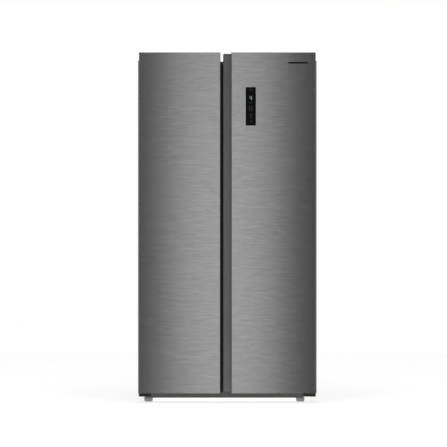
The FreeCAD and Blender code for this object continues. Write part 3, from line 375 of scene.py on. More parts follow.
def add_node(tree, kind, settings=None, links=None):
    """Add a node, set its sockets and properties by name, and link sockets to its inputs."""
    node = tree.nodes.new(kind)
    for key, value in (settings or {}).items():
        if isinstance(key, str) and hasattr(node, key):
            setattr(node, key, value)
        else:
            node.inputs[key].default_value = value
    for key, source in (links or {}).items():
        tree.links.new(source, node.inputs[key])
    return node


def new_finish(name, color, roughness, metallic=0.0, ior=None, **sockets):
    """A material with its Principled shader; sockets are further constant values."""
    finish = bpy.data.materials.new(name)
    finish.use_nodes = True
    tree = finish.node_tree
    shader = tree.nodes["Principled BSDF"]
    shader.inputs["Base Color"].default_value = linear(color)
    shader.inputs["Roughness"].default_value = roughness
    shader.inputs["Metallic"].default_value = metallic
    if ior:
        shader.inputs["IOR"].default_value = ior
    for key, value in sockets.items():
        shader.inputs[key.replace("_", " ").title().replace("Ior", "IOR")].default_value = value
    finish.diffuse_color = linear(color)
    return finish, tree, shader


def place_pattern(tree, scale):
    """Object coordinates stretched so that one unit is one repeat: scale is in metres, one
    value for all axes or one for each."""
    scale = scale if isinstance(scale, tuple) else (scale,) * 3
    place = add_node(tree, "ShaderNodeTexCoord")
    return add_node(tree, "ShaderNodeMapping",
                    {"Scale": tuple(1 / value for value in scale)},
                    {"Vector": place.outputs["Object"]}).outputs["Vector"]


def pattern(tree, scale, settings=None, kind="ShaderNodeTexNoise", output=0):
    """A texture's output, fractal noise unless told otherwise, at a real scale in metres."""
    return add_node(tree, kind, {"Scale": 1.0, **(settings or {})},
                    {"Vector": place_pattern(tree, scale)}).outputs[output]


def follow(tree, shader, value, colors=None, roughness=None, source=(0.3, 0.7), bump=None,
           socket="Base Color"):
    """Let a shader follow a pattern's value: its colour from a dark to a light sRGB hex, its
    roughness between two values as the pattern runs over its source range, and its bump,
    given as a real depth in metres and a strength."""
    if colors:
        ramp = add_node(tree, "ShaderNodeValToRGB", links={"Fac": value})
        for stop, code in zip(ramp.color_ramp.elements, colors):
            stop.color = linear(code)
        tree.links.new(ramp.outputs["Color"], shader.inputs[socket])
    if roughness:
        ranged = add_node(tree, "ShaderNodeMapRange",
                          {"From Min": source[0], "From Max": source[1],
                           "To Min": roughness[0], "To Max": roughness[1]}, {"Value": value})
        tree.links.new(ranged.outputs["Result"], shader.inputs["Roughness"])
    if bump:
        dent = add_node(tree, "ShaderNodeBump", {"Distance": bump[0], "Strength": bump[1]},
                        {"Height": value})
        tree.links.new(dent.outputs["Normal"], shader.inputs["Normal"])


def shade(code, factor):
    """A hex colour made lighter or darker."""
    value = [int(code[index:index + 2], 16) * factor for index in (0, 2, 4)]
    return "".join(f"{int(min(255, max(0, item))):02x}" for item in value)


def brush_lines(tree, length, spacing):
    """Noise in straight lines along x, each line its own: z snaps to the line spacing."""
    rows = add_node(tree, "ShaderNodeVectorMath", {"operation": "SNAP", 1: (0.02, 0.02, 1.0)},
                    {0: place_pattern(tree, (length, 60 * MM, spacing))})
    return add_node(tree, "ShaderNodeTexNoise", {"Scale": 1.0, "Detail": 2.0},
                    {"Vector": rows.outputs["Vector"]}).outputs["Fac"]


def brushed_stainless(color):
    """Stainless steel, belt brushed sideways: long soft streaks, a sharp sideways and a
    long upright reflection.  Real lines are 0.1 mm apart; they are drawn 2.5 mm apart."""
    finish, tree, shader = new_finish("Stainless steel, brushed", color, 0.25, 1.0,
                                      anisotropic=0.97, anisotropic_rotation=0.25)
    streaks = brush_lines(tree, 55 * MM, 2.5 * MM)
    bands = pattern(tree, (180 * MM, 90 * MM, 14 * MM))
    fine = pattern(tree, (60 * MM, 20 * MM, 2 * MM), {"Roughness": 0.7})
    share = add_node(tree, "ShaderNodeMath", {"operation": "MULTIPLY", 1: 0.92}, {0: streaks})
    mixed = add_node(tree, "ShaderNodeMath", {"operation": "MULTIPLY_ADD", 1: 0.08},
                     {0: bands, 2: share.outputs[0]})
    contrast = add_node(tree, "ShaderNodeMapRange", {"From Min": 0.36, "From Max": 0.64},
                        {"Value": mixed.outputs[0]})
    follow(tree, shader, contrast.outputs["Result"],
           (shade(color, 0.965), shade(color, 1.035)))
    follow(tree, shader, fine, roughness=(0.23, 0.27), bump=(0.01 * MM, 0.1))
    tangent = add_node(tree, "ShaderNodeTangent", {"direction_type": "RADIAL", "axis": "Z"})
    tree.links.new(tangent.outputs["Tangent"], shader.inputs["Tangent"])
    return finish


def coated_steel(color, name="Coil coated steel, painted"):
    """Coated steel: matt paint with a fine orange peel about 3 mm across."""
    finish, tree, shader = new_finish(name, color, 0.42, ior=1.5)
    peel, drift = pattern(tree, 3.2 * MM), pattern(tree, 400 * MM)
    follow(tree, shader, drift, (shade(color, 0.95), shade(color, 1.05)))
    follow(tree, shader, peel, roughness=(0.38, 0.5), bump=(0.05 * MM, 0.5))
    return finish


def galvanised_steel():
    """Hot dip galvanised sheet: flat crystals 12 mm across, each its own grey."""
    color = "a8abad"
    finish, tree, shader = new_finish("Galvanised steel, spangled sheet", color, 0.4, 0.9)
    spangle = pattern(tree, 12 * MM, kind="ShaderNodeTexVoronoi", output="Color")
    grey = add_node(tree, "ShaderNodeSeparateColor", links={"Color": spangle}).outputs["Red"]
    follow(tree, shader, grey, (shade(color, 0.86), shade(color, 1.08)), (0.32, 0.5),
           (0.0, 1.0))
    follow(tree, shader, pattern(tree, 30 * MM, {"Detail": 3.0}), bump=(0.1 * MM, 0.3))
    return finish


def moulded_abs(name, color, roughness):
    """Injection moulded ABS: even colour with a spark eroded grain, drawn 0.9 mm wide."""
    finish, tree, shader = new_finish(name, color, roughness, ior=1.53)
    speck, drift = pattern(tree, 0.9 * MM), pattern(tree, 160 * MM, {"Detail": 1.0})
    follow(tree, shader, drift, (shade(color, 0.96), shade(color, 1.04)))
    follow(tree, shader, speck, roughness=(roughness - 0.06, roughness + 0.08),
           bump=(0.03 * MM, 0.6))
    return finish


def liner_polystyrene(color):
    """Vacuum formed polystyrene: bright, half gloss, with a slow ripple from the forming."""
    finish, tree, shader = new_finish("Polystyrene liner, vacuum formed", color, 0.28,
                                      ior=1.59)
    ripple, drift = pattern(tree, 45 * MM), pattern(tree, 400 * MM, {"Detail": 1.0})
    follow(tree, shader, drift, (shade(color, 0.99), color))
    follow(tree, shader, ripple, roughness=(0.31, 0.34), bump=(0.02 * MM, 0.1))
    return finish


def clear_polystyrene(color):
    """Clear moulded polystyrene, slightly blue, with faint flow marks."""
    finish, tree, shader = new_finish("Polystyrene, clear moulded", color, 0.07, ior=1.59,
                                      transmission_weight=0.86)
    flow = pattern(tree, (40 * MM, 40 * MM, 14 * MM), {"Distortion": 0.6})
    follow(tree, shader, flow, (shade(color, 0.97), color), (0.05, 0.14))
    return finish


def toughened_glass():
    """Toughened shelf glass: clear, green by its iron, smooth."""
    finish, tree, shader = new_finish("Soda lime glass, toughened", "eef7f3", 0.02, ior=1.52,
                                      transmission_weight=0.97)
    wave = pattern(tree, 120 * MM, {"Detail": 1.0})
    follow(tree, shader, wave, roughness=(0.015, 0.05))
    return finish


def touch_glass():
    """Black printed touch glass with an anti-glare face: almost no reflection."""
    finish, tree, shader = new_finish("Printed glass, anti-glare", "060708", 0.3, ior=1.52,
                                      specular_ior_level=0.1)
    haze = pattern(tree, 25 * MM)
    follow(tree, shader, haze, ("050606", "0a0b0d"), (0.26, 0.36))
    return finish


def lit_symbol(name, color, strength):
    """Print lit from behind by a lamp: a flat glow with a slightly uneven field."""
    finish, tree, shader = new_finish(name, "20262c", 0.5, emission_strength=strength)
    glow = pattern(tree, 3 * MM, {"Detail": 1.0})
    follow(tree, shader, glow, (shade(color, 0.85), color), socket="Emission Color")
    return finish


def seal_vinyl():
    """Soft extruded PVC of the door seals: satin grey with lines along the extrusion."""
    finish, tree, shader = new_finish("Soft PVC, extruded", "8d8e90", 0.55, ior=1.53)
    lines = pattern(tree, 6 * MM)
    follow(tree, shader, lines, ("838486", "96979a"), bump=(0.05 * MM, 0.4))
    return finish


def rigid_foam():
    """Rigid polyurethane foam: pale yellow, dull, full of fine cells drawn 2 mm wide."""
    finish, tree, shader = new_finish("Polyurethane foam, poured", "e4dcc2", 0.9)
    cells = pattern(tree, 2 * MM, kind="ShaderNodeTexVoronoi", output="Distance")
    follow(tree, shader, cells, ("cfc5a4", "ece5cf"), bump=(0.4 * MM, 0.6))
    return finish


def drawn_metal(name, color, roughness):
    """Bare rolled or drawn metal: a mottled sheen with fine handling marks."""
    finish, tree, shader = new_finish(name, color, roughness, 1.0)
    mottle = pattern(tree, (9 * MM, 9 * MM, 3 * MM), {"Detail": 3.0})
    follow(tree, shader, mottle, (shade(color, 0.86), shade(color, 1.05)),
           (roughness - 0.08, roughness + 0.12))
    return finish


def enamelled_steel():
    """Black stoved enamel on pressed steel: deep gloss with slight orange peel."""
    finish, tree, shader = new_finish("Stoved enamel, black", "0c0c0d", 0.25, ior=1.5,
                                      coat_weight=0.6, coat_roughness=0.1)
    peel = pattern(tree, 4 * MM)
    follow(tree, shader, peel, ("09090a", "111112"), bump=(0.06 * MM, 0.5))
    return finish


def moulded_rubber():
    """Black moulded rubber: dull with a dusty bloom."""
    finish, tree, shader = new_finish("Rubber, moulded", "161616", 0.75)
    bloom = pattern(tree, 7 * MM, {"Detail": 3.0})
    follow(tree, shader, bloom, ("111111", "232322"))
    return finish


def lamp_lens():
    """Frosted acrylic lamp lens, milky white, lit as it is when a door stands open."""
    finish, tree, shader = new_finish("Acrylic, frosted", "f6f6f0", 0.4, ior=1.49,
                                      transmission_weight=0.25, emission_strength=14.0)
    frost = pattern(tree, 2 * MM, {"Detail": 1.0})
    follow(tree, shader, frost, ("efefe8", "fbfbf6"), bump=(0.05 * MM, 0.5))
    return finish


def studio_paper():
    """Seamless white background paper, lit through from below: matt with a soft tooth."""
    finish, tree, shader = new_finish("Seamless paper, matt", "ffffff", 0.9)
    tooth = pattern(tree, 20 * MM)
    follow(tree, shader, tooth, ("fbfbfb", "ffffff"))
    shader.inputs["Emission Color"].default_value = linear("ffffff")
    shader.inputs["Emission Strength"].default_value = 0.7
    return finish


FINISHES = {}


def finish_of(name):
    """One finish by its short name, made on first use from the current settings."""
    if name not in FINISHES:
        scene = bpy.context.scene
        doors, inside, cabinet = scene.fridge_doors, scene.fridge_inside, scene.fridge_cabinet
        makers = {
            "stainless": lambda: brushed_stainless(doors.steel),
            "side": lambda: coated_steel(cabinet.side),
            "bracket": lambda: coated_steel("2c2c2d", "Steel bracket, powder coated"),
            # Centre strip: partly its own dark grey and partly painted shade, made darker to
            # stand for the shadow in the narrow gap between the doors.
            "strip": lambda: moulded_abs("ABS, grained black grey with painted shade", "2e2e30", 0.5),
            "galvanised": galvanised_steel,
            "grip": lambda: moulded_abs("ABS, grained grey", doors.grip, 0.42),
            "base": lambda: moulded_abs("ABS, grained dark grey", cabinet.base, 0.5),
            "black": lambda: moulded_abs("Polypropylene, black", "141415", 0.5),
            "white": lambda: moulded_abs("ABS, white", "e9ebec", 0.4),
            "nylon": lambda: moulded_abs("Nylon, natural", "d9d6cb", 0.45),
            "foot": lambda: moulded_abs("Polypropylene, light grey", "a2a2a2", 0.5),
            "liner": lambda: liner_polystyrene(inside.liner),
            "clear": lambda: clear_polystyrene(inside.clear_tint),
            "glass": toughened_glass,
            "touch": touch_glass,
            "lit": lambda: lit_symbol("Lit print, white", "b9cbe0", 1.1),
            "dim": lambda: lit_symbol("Lit print, dim", "8f959c", 0.22),
            "seal": seal_vinyl,
            "foam": rigid_foam,
            "zinc": lambda: drawn_metal("Steel, zinc plated", "b9bcbf", 0.35),
            "copper": lambda: drawn_metal("Copper, drawn", "b9764f", 0.3),
            "aluminium": lambda: drawn_metal("Aluminium, rolled", "c9cbcd", 0.35),
            "badge": lambda: drawn_metal("Aluminium, dark anodised", "3a3a3c", 0.3),
            "enamel": enamelled_steel,
            "rubber": moulded_rubber,
            "lens": lamp_lens,
            "paper": studio_paper,
        }
        FINISHES[name] = makers[name]()
    return FINISHES[name]


# ---------------------------------------------------------------- door pieces

def display_glass(setback):
    """The touch glass with its face set a little behind the face of the door."""
    glass = merged_copy("control_display", finish_of("touch"))
    for corner in glass.data.vertices:
        if corner.co.y < FRONT + setback:
            corner.co.y = FRONT + setback
    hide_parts("control_display")


def display_marks(setback):
    """Generic lit symbols on the display: one digit, bars, dots and a ring."""
    lower, upper = low("control_display"), high("control_display")
    middle = (lower[0] + upper[0]) / 2
    face = FRONT + setback
    thick = 0.75 * setback
    stroke = 1.5 * MM

    def bar(x, z, width, height):
        return plate((x - width / 2, face - thick, z - height / 2),
                     (x + width / 2, face - 0.01 * MM, z + height / 2),
                     min(width, height) * 0.3, thick * 0.4, 3)

    top = upper[2]
    digit = []
    half_w, half_h = 4.2 * MM, 11 * MM
    centre = top - 56 * MM
    for dx, dz, tall in ((-half_w, half_h / 2, True), (half_w, half_h / 2, True),
                         (half_w, -half_h / 2, True), (0, 0, False)):
        size = (stroke, half_h) if tall else (2 * half_w, stroke)
        digit.append(bar(middle + dx, centre + dz, *size))
    add_piece("display_digit", *merge(*digit), finish_of("lit"), "fridge_door")
    dim = [bar(middle, top - 13 * MM, 19 * MM, 1.3 * MM)]
    for dx in (-7, 0, 7):
        dim.append(bar(middle + dx * MM, top - 79 * MM, 3.2 * MM, 3.2 * MM))
    for dx in (-6, 6):
        dim.append(bar(middle + dx * MM, top - 108 * MM, 2.0 * MM, 28 * MM))
    for step in range(3):
        dim.append(bar(middle, top - (138 + 9 * step) * MM, (12 - 2 * step) * MM, 1.6 * MM))
    steps = 32
    hole, ring = (arc((middle, top - 174 * MM), radius, 0, 360, steps + 1)[:-1]
                  for radius in (3.5 * MM, 4.6 * MM))
    loops = np.empty((4, steps, 3))
    for index, (loop, level) in enumerate(((hole, face), (hole, face - thick),
                                           (ring, face - thick), (ring, face))):
        loops[index, :, ::2] = loop
        loops[index, :, 1] = level
    closed = grid_faces(5, steps, wrap=True) % (4 * steps)
    dim.append((loops.reshape(-1, 3), closed.tolist()))
    add_piece("display_symbols", *merge(*dim), finish_of("dim"), "fridge_door")


def seal_ring(door):
    """Magnetic seal: a lipped bellows section carried round a rounded rectangle.

    Point (i, j) is path point i plus section point j across the path's outward normal.
    """
    node = door + "_door_gasket"
    lower, upper = low(node), high(node)
    middle = 10 * MM  # from the seal's outer edge to the middle of its section
    height = 8.6 * MM  # of the section below
    section = np.array([
        (-9.6, 0.0), (9.6, 0.0), (9.8, 0.5), (6.0, 1.4), (4.4, 2.6), (7.2, 3.9),
        (9.4, 5.2), (9.9, 7.4), (9.2, 8.6), (3.4, 8.45), (2.8, 8.2), (-6.8, 8.2),
        (-7.4, 8.45), (-9.2, 8.6), (-9.8, 7.2), (-8.2, 5.6), (-5.0, 4.6), (-4.2, 2.6),
        (-6.0, 1.4), (-9.8, 0.5)]) * MM
    section[:, 1] *= (upper[1] - lower[1]) / height
    path = rounded_loop((lower[0] + middle, upper[0] - middle),
                        (lower[2] + middle, upper[2] - middle), 6 * MM, 9)
    ahead = np.roll(path, -1, axis=0) - np.roll(path, 1, axis=0)
    ahead /= np.linalg.norm(ahead, axis=1, keepdims=True)
    outward = np.column_stack((ahead[:, 1], -ahead[:, 0]))
    loops = np.empty((len(section), len(path), 3))
    loops[:, :, 0] = path[None, :, 0] + section[:, :1] * outward[None, :, 0]
    loops[:, :, 2] = path[None, :, 1] + section[:, :1] * outward[None, :, 1]
    loops[:, :, 1] = lower[1] + section[:, 1:]
    rows, columns = loops.shape[:2]
    faces = grid_faces(rows + 1, columns, wrap=True) % (rows * columns)
    piece = add_piece(door + "_door_seal", loops.reshape(-1, 3), faces.tolist(),
                      finish_of("seal"), door + "_door", 50)
    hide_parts(node)


def world_points(node):
    """All points of a CAD node, in the object's frame."""
    target = frame["nodes"][node]
    points = np.empty(len(target.data.vertices) * 3)
    target.data.vertices.foreach_get("co", points)
    matrix = np.array(target.matrix_world)
    return points.reshape(-1, 3) @ matrix[:3, :3].T + matrix[:3, 3]


def heights_of(node, count):
    """Lowest height of each of the like solids that a node holds."""
    heights = np.unique(np.round(world_points(node)[:, 2], 4))
    jumps = np.argsort(np.diff(heights))[::-1][:count - 1]
    return [float(heights[0])] + [float(heights[index + 1]) for index in sorted(jumps)]


def badge(skin):
    """Plain dark bar set flush into a shallow pocket high on the fresh food door."""
    edge = high("fridge_door_skin")[0]
    x = (edge - 146 * MM, edge - 46 * MM)
    z = (DOOR_TOP - 57 * MM, DOOR_TOP - 49 * MM)
    depth, play = 0.5 * MM, 0.25 * MM
    sink(skin, (x[0] - play, x[1] + play), (z[0] - play, z[1] + play), depth)
    bar = plate((x[0], FRONT, z[0]), (x[1], FRONT + 0.9 * depth, z[1]), 0.8 * MM,
                0.15 * MM)
    add_piece("badge_bar", *bar, finish_of("badge"), "fridge_door")


def kick_lip():
    """Soft strip along the foot of the kick plate."""
    lower, upper = low("kick_plate"), high("kick_plate")
    strip = plate((lower[0], lower[1] + 1.2 * MM, lower[2] - 6 * MM),
                  (upper[0], upper[1] - 0.5 * MM, lower[2] + 1 * MM), 1 * MM, 0.4 * MM)
    add_piece("kick_lip", *strip, finish_of("base"), "cabinet", 40, "cap_plastic")


def foot_pad(side):
    """Screw foot: a turned pad with twelve finger grooves.

    Radius at angle t and height z is r(z) - 1.1 mm * sin(pi (z - 5) / 15)^2 *
    (0.5 + 0.5 cos 12 t)^4 between z = 5 and 20 mm.
    """
    node = "foot_pad_" + side
    lower, upper = low(node), high(node)
    centre = ((lower[0] + upper[0]) / 2, (lower[1] + upper[1]) / 2, lower[2])
    width = 46 * MM  # of the profile below
    profile = np.array([
        (18.6, 0), (19.5, 0.3), (20.0, 1.0), (20.9, 3.2), (21.7, 7), (22.4, 11), (22.9, 14.5),
        (23.0, 16), (22.9, 18), (22.3, 19.4), (20.6, 20.9), (18.6, 22.6), (17.3, 24),
        (16.8, 25.2), (16.2, 26), (6.3, 26), (6.2, 8)]) * MM
    profile[:, 0] *= (upper[0] - lower[0]) / width
    vertices, faces = revolve(profile, centre, 144)
    offset = vertices[:, :2] - centre[:2]
    angle = np.arctan2(offset[:, 1], offset[:, 0])
    height = vertices[:, 2] - centre[2]
    window = np.sin(np.pi * np.clip((height - 5 * MM) / (15 * MM), 0, 1)) ** 2
    reach = np.hypot(offset[:, 0], offset[:, 1])
    groove = 1.1 * MM * window * (0.5 + 0.5 * np.cos(12 * angle)) ** 4
    groove[reach < 10 * MM] = 0
    vertices[:, :2] -= offset * (groove / reach)[:, None]
    piece = add_piece(node + "_turned", vertices, faces, finish_of("foot"), node, 50,
                      "foot_plastic")
    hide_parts(node)


def door_bins(door, count):
    """Clear bins with a stepped rim, and a white trim along each rim's inner edge."""
    node = door + "_door_bins"
    lower, upper = low(node), high(node)
    levels = heights_of(node, count)
    tall = upper[2] - max(levels)
    shells, trims = [], []
    for level in levels:
        shells.append(tub((lower[0], lower[1], level), (upper[0], upper[1], level + tall),
                          10 * MM, 2.2 * MM, 6 * MM, 1.2 * MM, 7 * MM))
        trims.append(plate((lower[0] + 16 * MM, upper[1] - 0.9 * MM, level + tall - 20 * MM),
                           (upper[0] - 16 * MM, upper[1], level + tall - 10 * MM),
                           2.5 * MM, 0.3 * MM))
    piece = add_piece(door + "_bins_clear", *merge(*shells), finish_of("clear"),
                      door + "_door", 40, "clear_plastic")
    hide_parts(node)
    add_piece(door + "_bins_trim", *merge(*trims), finish_of("white"), door + "_door", 40,
              "white_plastic")


def drawer_front(node):
    """Clear drawer with bevelled edges and a white grip strip along its front."""
    lower, upper = low(node), high(node)
    softened(node, 0.5 * MM, finish_of("clear"))
    middle = (lower[0] + upper[0]) / 2
    strip = plate((middle - 74 * MM, lower[1] - 1.4 * MM, upper[2] - 13 * MM),
                  (middle + 74 * MM, lower[1], upper[2] - 5 * MM), 2 * MM, 0.5 * MM)
    add_piece(node + "_grip", *strip, finish_of("white"), node, 40, "white_plastic")


def back_sheet():
    """Back panel pressed with upright stiffening ribs.

    The outer face lies 0.75 mm * (1 - s(x) s(z)) below the raised level: s is a smooth step
    over 14 mm at the borders of each of five fields.  The inner face is flat.
    """
    lower, upper = low("back_panel"), high("back_panel")
    columns = np.linspace(lower[0], upper[0], 241)
    rows = np.linspace(lower[2], upper[2], 121)
    x, z = np.meshgrid(columns, rows)

    def swell(value, start, end):
        rise = np.clip((value - start) / step, 0, 1)
        fall = np.clip((end - value) / step, 0, 1)
        return rise * rise * (3 - 2 * rise) * fall * fall * (3 - 2 * fall)

    step, drop = 14 * MM, 0.75 * MM
    fields = np.linspace(lower[0] + 30 * MM, upper[0] - 30 * MM, 6)
    raised = sum(swell(x, start + 12 * MM, end - 12 * MM)
                 for start, end in zip(fields[:-1], fields[1:]))
    raised = raised * swell(z, lower[2] + 60 * MM, upper[2] - 60 * MM)
    outer = np.stack((x, upper[1] - drop * (1 - raised), z), axis=-1)
    inner = outer.copy()
    inner[:, :, 1] = lower[1] + 0.05 * MM
    count_z, count_x = x.shape
    front = grid_faces(count_z, count_x)
    size = count_z * count_x
    back = front[:, ::-1] + size
    border = np.concatenate((
        np.arange(count_x), np.arange(1, count_z) * count_x + count_x - 1,
        (count_z - 1) * count_x + np.arange(count_x - 2, -1, -1),
        np.arange(count_z - 2, 0, -1) * count_x))
    after = np.roll(border, -1)
    rim = np.stack((border, after, after + size, border + size), axis=-1)
    faces = np.concatenate((front, back, rim)).tolist()
    vertices = np.concatenate((outer.reshape(-1, 3), inner.reshape(-1, 3)))
    piece = add_piece("back_sheet_pressed", vertices, faces, finish_of("galvanised"),
                      "cabinet", 40, "bare_steel")
    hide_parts("back_panel")


def back_screws():
    """Hexagon flange screws up both sides of the back sheet and along its top."""
    heads = []
    back = high("back_panel")
    rear = back[1] - 0.75 * MM
    places = [(side * (back[0] - 14 * MM), level, rear)
              for side in (-1, 1) for level in np.linspace(0.33, back[2] - 0.05, 6)]
    places += [(x, back[2] - 12 * MM, rear) for x in np.linspace(-0.32, 0.32, 5)]
    steps = 24
    angle = np.linspace(0, 2 * np.pi, steps, endpoint=False)
    hexagon = 3.1 / np.cos(((angle + np.pi / 6) % (np.pi / 3)) - np.pi / 6)
    profile = ((5.0, -0.1), (5.0, 0.5), (3.4, 0.9), (hexagon, 0.9), (hexagon, 3.0))
    for x, z, y in places:
        loops = np.empty((len(profile), steps, 3))
        for index, (radius, height) in enumerate(profile):
            loops[index, :, 0] = x + radius * MM * np.cos(angle)
            loops[index, :, 2] = z + radius * MM * np.sin(angle)
            loops[index, :, 1] = y + height * MM
        heads.append(stack(loops))
    add_piece("back_screws", *merge(*heads), finish_of("zinc"), "cabinet", 30, "bare_steel")


# ---------------------------------------------------------------- finishes of the CAD nodes


def paint_all(choices):
    """Paint groups of CAD nodes: finish name to node names."""
    for name, nodes in choices.items():
        for node in nodes.split():
            paint(node, finish_of(name))


def soften_all(choices):
    """Bevelled copies of groups of CAD nodes: (edge width, finish name) to node names."""
    for (width, name), nodes in choices.items():
        for node in nodes.split():
            softened(node, width * MM, finish_of(name))


# ---------------------------------------------------------------- studio

def studio_world(strength):
    """Room light: a plain white backdrop to look at, a dim even room to light by."""
    world = bpy.data.worlds.new("Studio room")
    world.use_nodes = True
    tree = world.node_tree
    tree.nodes.clear()
    seen = add_node(tree, "ShaderNodeLightPath").outputs["Is Camera Ray"]
    white = (1.0, 1.0, 1.0, 1.0)
    room, backdrop = (add_node(tree, "ShaderNodeBackground", {"Color": white, "Strength": value})
                      for value in (strength, 1.0))
    mixed = add_node(tree, "ShaderNodeMixShader", links={0: seen})
    tree.links.new(room.outputs[0], mixed.inputs[1])
    tree.links.new(backdrop.outputs[0], mixed.inputs[2])
    output = add_node(tree, "ShaderNodeOutputWorld")
    tree.links.new(mixed.outputs[0], output.inputs["Surface"])
    bpy.context.scene.world = world


def lamp_panel(name, place, target, size, power):
    """A rectangular lamp panel that faces a point; size is (width, height)."""
    data = bpy.data.lights.new(name, "AREA")
    data.shape = "RECTANGLE"
    data.size, data.size_y = size
    data.energy = power
    panel = bpy.data.objects.new(name, data)
    panel.location = place
    toward = Vector(target) - Vector(place)
    panel.rotation_euler = toward.to_track_quat("-Z", "Y").to_euler()
    panel.visible_camera = False
    bpy.context.scene.collection.objects.link(panel)


def studio(settings):
    """Pale floor, camera square to the doors, a tall panel behind it, panels all round."""
    aim = Vector(settings.aim)
    floor = bpy.data.meshes.new("studio_floor")
    reach = 3.2  # half the width of the floor sheet
    floor.from_pydata([(-reach, -reach, 0), (reach, -reach, 0), (reach, reach, 0),
                       (-reach, reach, 0)], [], [(0, 1, 2, 3)])
    floor.materials.append(finish_of("paper"))
    sheet = bpy.data.objects.new("studio_floor", floor)
    sheet.visible_glossy = False
    sheet.visible_shadow = False
    bpy.context.scene.collection.objects.link(sheet)

    sensor = 36.0
    data = bpy.data.cameras.new("Camera")
    data.sensor_width = sensor
    data.lens = sensor * settings.distance / settings.span
    camera = bpy.data.objects.new("Camera", data)
    camera.location = (aim.x, FRONT - settings.distance, aim.z)
    camera.rotation_euler = (math.radians(90), 0, 0)
    bpy.context.scene.collection.objects.link(camera)
    bpy.context.scene.camera = camera

    behind = FRONT - settings.distance - 0.5
    lamp_panel("Front panel", (aim.x, behind, aim.z - 0.4), (aim.x, 0, aim.z - 0.4),
               (settings.panel, 7.0), settings.key)
    away, level = 6.5, 0.9  # of the soft panels from the object and the floor
    for turn, power in ((42, settings.shoulder), (90, settings.ring), (138, settings.ring),
                        (180, settings.ring)):
        for side in (-1, 1) if turn < 180 else (1,):
            around = math.radians(side * turn)
            lamp_panel("Soft panel", (away * math.sin(around), -away * math.cos(around), level),
                       (0, 0, level), (4.4, 6.0), power)
    lamp_panel("Top panel", (0, -1.0, 4.6), (0, -0.2, 0), (4.0, 4.0), settings.top)
    lamp_panel("Table panel", (0, -3.0, -2.6), (0, -3.0, 0), (6.0, 6.0), settings.under)
    studio_world(settings.surround)
    bpy.context.scene.view_settings.view_transform = "Standard"


# ---------------------------------------------------------------- operators

class FRIDGE_OT_door_fronts(bpy.types.Operator):
    """Brushed steel door fronts with their grips, end caps and foam"""

    bl_idname = "fridge.door_fronts"
    bl_label = "Door fronts"

    def execute(self, context):
        paint_all({"foam": "freezer_door_foam fridge_door_foam"})
        for node in ("freezer_door_skin", "fridge_door_skin"):
            skin = merged_copy(node, finish_of("stainless"), flat=False)
            flatten(skin.data)
            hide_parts(node)
        soften_all({(0.5, "grip"): "freezer_door_grip fridge_door_grip",
                    (0.5, "base"): "freezer_door_caps fridge_door_caps"})
        return {"FINISHED"}


class FRIDGE_OT_display(bpy.types.Operator):
    """Flush touch display with its lit symbols, and the plain bar above it"""

    bl_idname = "fridge.display"
    bl_label = "Display and bar"

    def execute(self, context):
        setback = 0.2 * MM
        display_glass(setback)
        display_marks(setback)
        badge(bpy.data.objects["fridge_door_skin_finished"])
        return {"FINISHED"}


class FRIDGE_OT_door_seals(bpy.types.Operator):
    """Bellows seals on the back of both doors"""

    bl_idname = "fridge.door_seals"
    bl_label = "Door seals"

    def execute(self, context):
        seal_ring("freezer")
        seal_ring("fridge")
        return {"FINISHED"}


class FRIDGE_OT_door_insides(bpy.types.Operator):
    """Inner liners of the doors with their bins and the dairy lid"""

    bl_idname = "fridge.door_insides"
    bl_label = "Door insides"

    def execute(self, context):
        soften_all({(2.5, "liner"): "freezer_door_liner fridge_door_liner",
                    (0.6, "clear"): "dairy_lid"})
        door_bins("freezer", 5)
        door_bins("fridge", 5)
        return {"FINISHED"}


class FRIDGE_OT_hinges(bpy.types.Operator):
    """Upper and lower hinges, their covers and screws"""

    bl_idname = "fridge.hinges"
    bl_label = "Hinges"

    def execute(self, context):
        paint_all({"zinc": "hinge_screws"})
        soften_all({(0.4, "zinc"): "upper_hinges", (0.5, "bracket"): "lower_hinges",
                    (1.2, "base"): "hinge_covers"})
        return {"FINISHED"}


class FRIDGE_OT_cabinet(bpy.types.Operator):
    """Coated cabinet shell, centre strip, foam, underframe and kick plate"""

    bl_idname = "fridge.cabinet"
    bl_label = "Cabinet"

    def execute(self, context):
        # The mullion cover gets the darkened centre strip finish: its near-black is partly its
        # own colour and partly painted shade for the gap between the doors.
        paint_all({"side": "outer_cabinet", "strip": "mullion_cover",
                   "foam": "cabinet_insulation", "galvanised": "base_frame"})
        soften_all({(0.7, "base"): "kick_plate"})
        kick_lip()
        return {"FINISHED"}


class FRIDGE_OT_back(bpy.types.Operator):
    """Pressed back sheet, machine room cover, control box and their screws"""

    bl_idname = "fridge.back"
    bl_label = "Back"

    def execute(self, context):
        back_sheet()
        back_screws()
        soften_all({(0.4, "galvanised"): "machine_room_cover", (1.0, "black"): "control_box"})
        return {"FINISHED"}


class FRIDGE_OT_compartments(bpy.types.Operator):
    """Liners, shelves, air duct and flap, evaporator cover and lamps"""

    bl_idname = "fridge.compartments"
    bl_label = "Compartments"

    def execute(self, context):
        paint_all({"white": "damper_flap"})
        soften_all({(3.0, "liner"): "freezer_liner fridge_liner",
                    (1.0, "white"): "freezer_shelf_frames fridge_shelf_frames "
                                    "fridge_air_duct evaporator_cover",
                    (0.5, "glass"): "freezer_shelf_glass fridge_shelf_glass",
                    (0.8, "lens"): "interior_lamps"})
        return {"FINISHED"}


class FRIDGE_OT_drawers(bpy.types.Operator):
    """Two drawers in each compartment"""

    bl_idname = "fridge.drawers"
    bl_label = "Drawers"

    def execute(self, context):
        for node in ("freezer_drawer_upper", "freezer_drawer_lower", "crisper_upper",
                     "crisper_lower"):
            drawer_front(node)
        return {"FINISHED"}


class FRIDGE_OT_feet(bpy.types.Operator):
    """Screw feet at the front and rollers at the rear"""

    bl_idname = "fridge.feet"
    bl_label = "Feet and rollers"

    def execute(self, context):
        foot_pad("left")
        foot_pad("right")
        paint_all({"zinc": "foot_stud_left foot_stud_right roller_axles",
                   "nylon": "rear_roller_left rear_roller_right"})
        return {"FINISHED"}


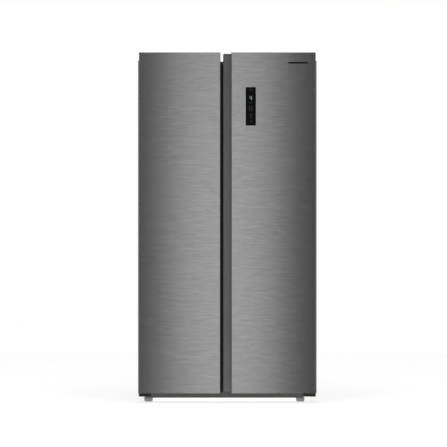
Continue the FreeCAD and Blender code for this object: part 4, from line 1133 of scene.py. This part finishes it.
class FRIDGE_OT_cooling(bpy.types.Operator):
    """Compressor, coils, fans, pipes and drain pan"""

    bl_idname = "fridge.cooling"
    bl_label = "Cooling"

    def execute(self, context):
        paint_all({
            "enamel": "compressor condenser_coil", "rubber": "compressor_mounts",
            "black": "condenser_fan condenser_fan_shroud evaporator_fan_motor drain_pan",
            "copper": "refrigerant_pipes", "aluminium": "evaporator",
            "zinc": "defrost_heater", "white": "evaporator_fan"})
        return {"FINISHED"}


class FRIDGE_OT_studio(bpy.types.Operator):
    """Pale floor, camera and lamp panels"""

    bl_idname = "fridge.studio"
    bl_label = "Studio"

    def execute(self, context):
        studio(context.scene.fridge_stage)
        return {"FINISHED"}


STEPS = (FRIDGE_OT_door_fronts, FRIDGE_OT_display, FRIDGE_OT_door_seals,
         FRIDGE_OT_door_insides, FRIDGE_OT_hinges, FRIDGE_OT_cabinet, FRIDGE_OT_back,
         FRIDGE_OT_compartments, FRIDGE_OT_drawers, FRIDGE_OT_feet, FRIDGE_OT_cooling,
         FRIDGE_OT_studio)


class FRIDGE_PT_panel(bpy.types.Panel):
    """Lists the steps in order, with the settings below them"""

    bl_idname = "FRIDGE_PT_panel"
    bl_label = "Refrigerator"
    bl_space_type = "VIEW_3D"
    bl_region_type = "UI"
    bl_category = "Refrigerator"

    def draw(self, context):
        for step in STEPS:
            self.layout.operator(step.bl_idname)
        for group in SETTINGS:
            for key in SETTINGS[group].__annotations__:
                self.layout.prop(getattr(context.scene, group), key)


SETTINGS = {"fridge_doors": DoorSettings, "fridge_inside": InteriorSettings,
            "fridge_cabinet": CabinetSettings, "fridge_stage": StageSettings}
CLASSES = (*SETTINGS.values(), *STEPS, FRIDGE_PT_panel)


def register():
    """Register the classes and hang the settings on the scene."""
    for item in CLASSES:
        bpy.utils.register_class(item)
    for name, group in SETTINGS.items():
        setattr(bpy.types.Scene, name, PointerProperty(type=group))


def unregister():
    """Take the settings and classes away again."""
    for name in SETTINGS:
        delattr(bpy.types.Scene, name)
    for item in reversed(CLASSES):
        bpy.utils.unregister_class(item)


def main():
    """Register and build every piece in order."""
    register()
    for step in STEPS:
        name = step.bl_idname.split(".")[1]
        getattr(bpy.ops.fridge, name)()


if __name__ == "__main__":
    main()
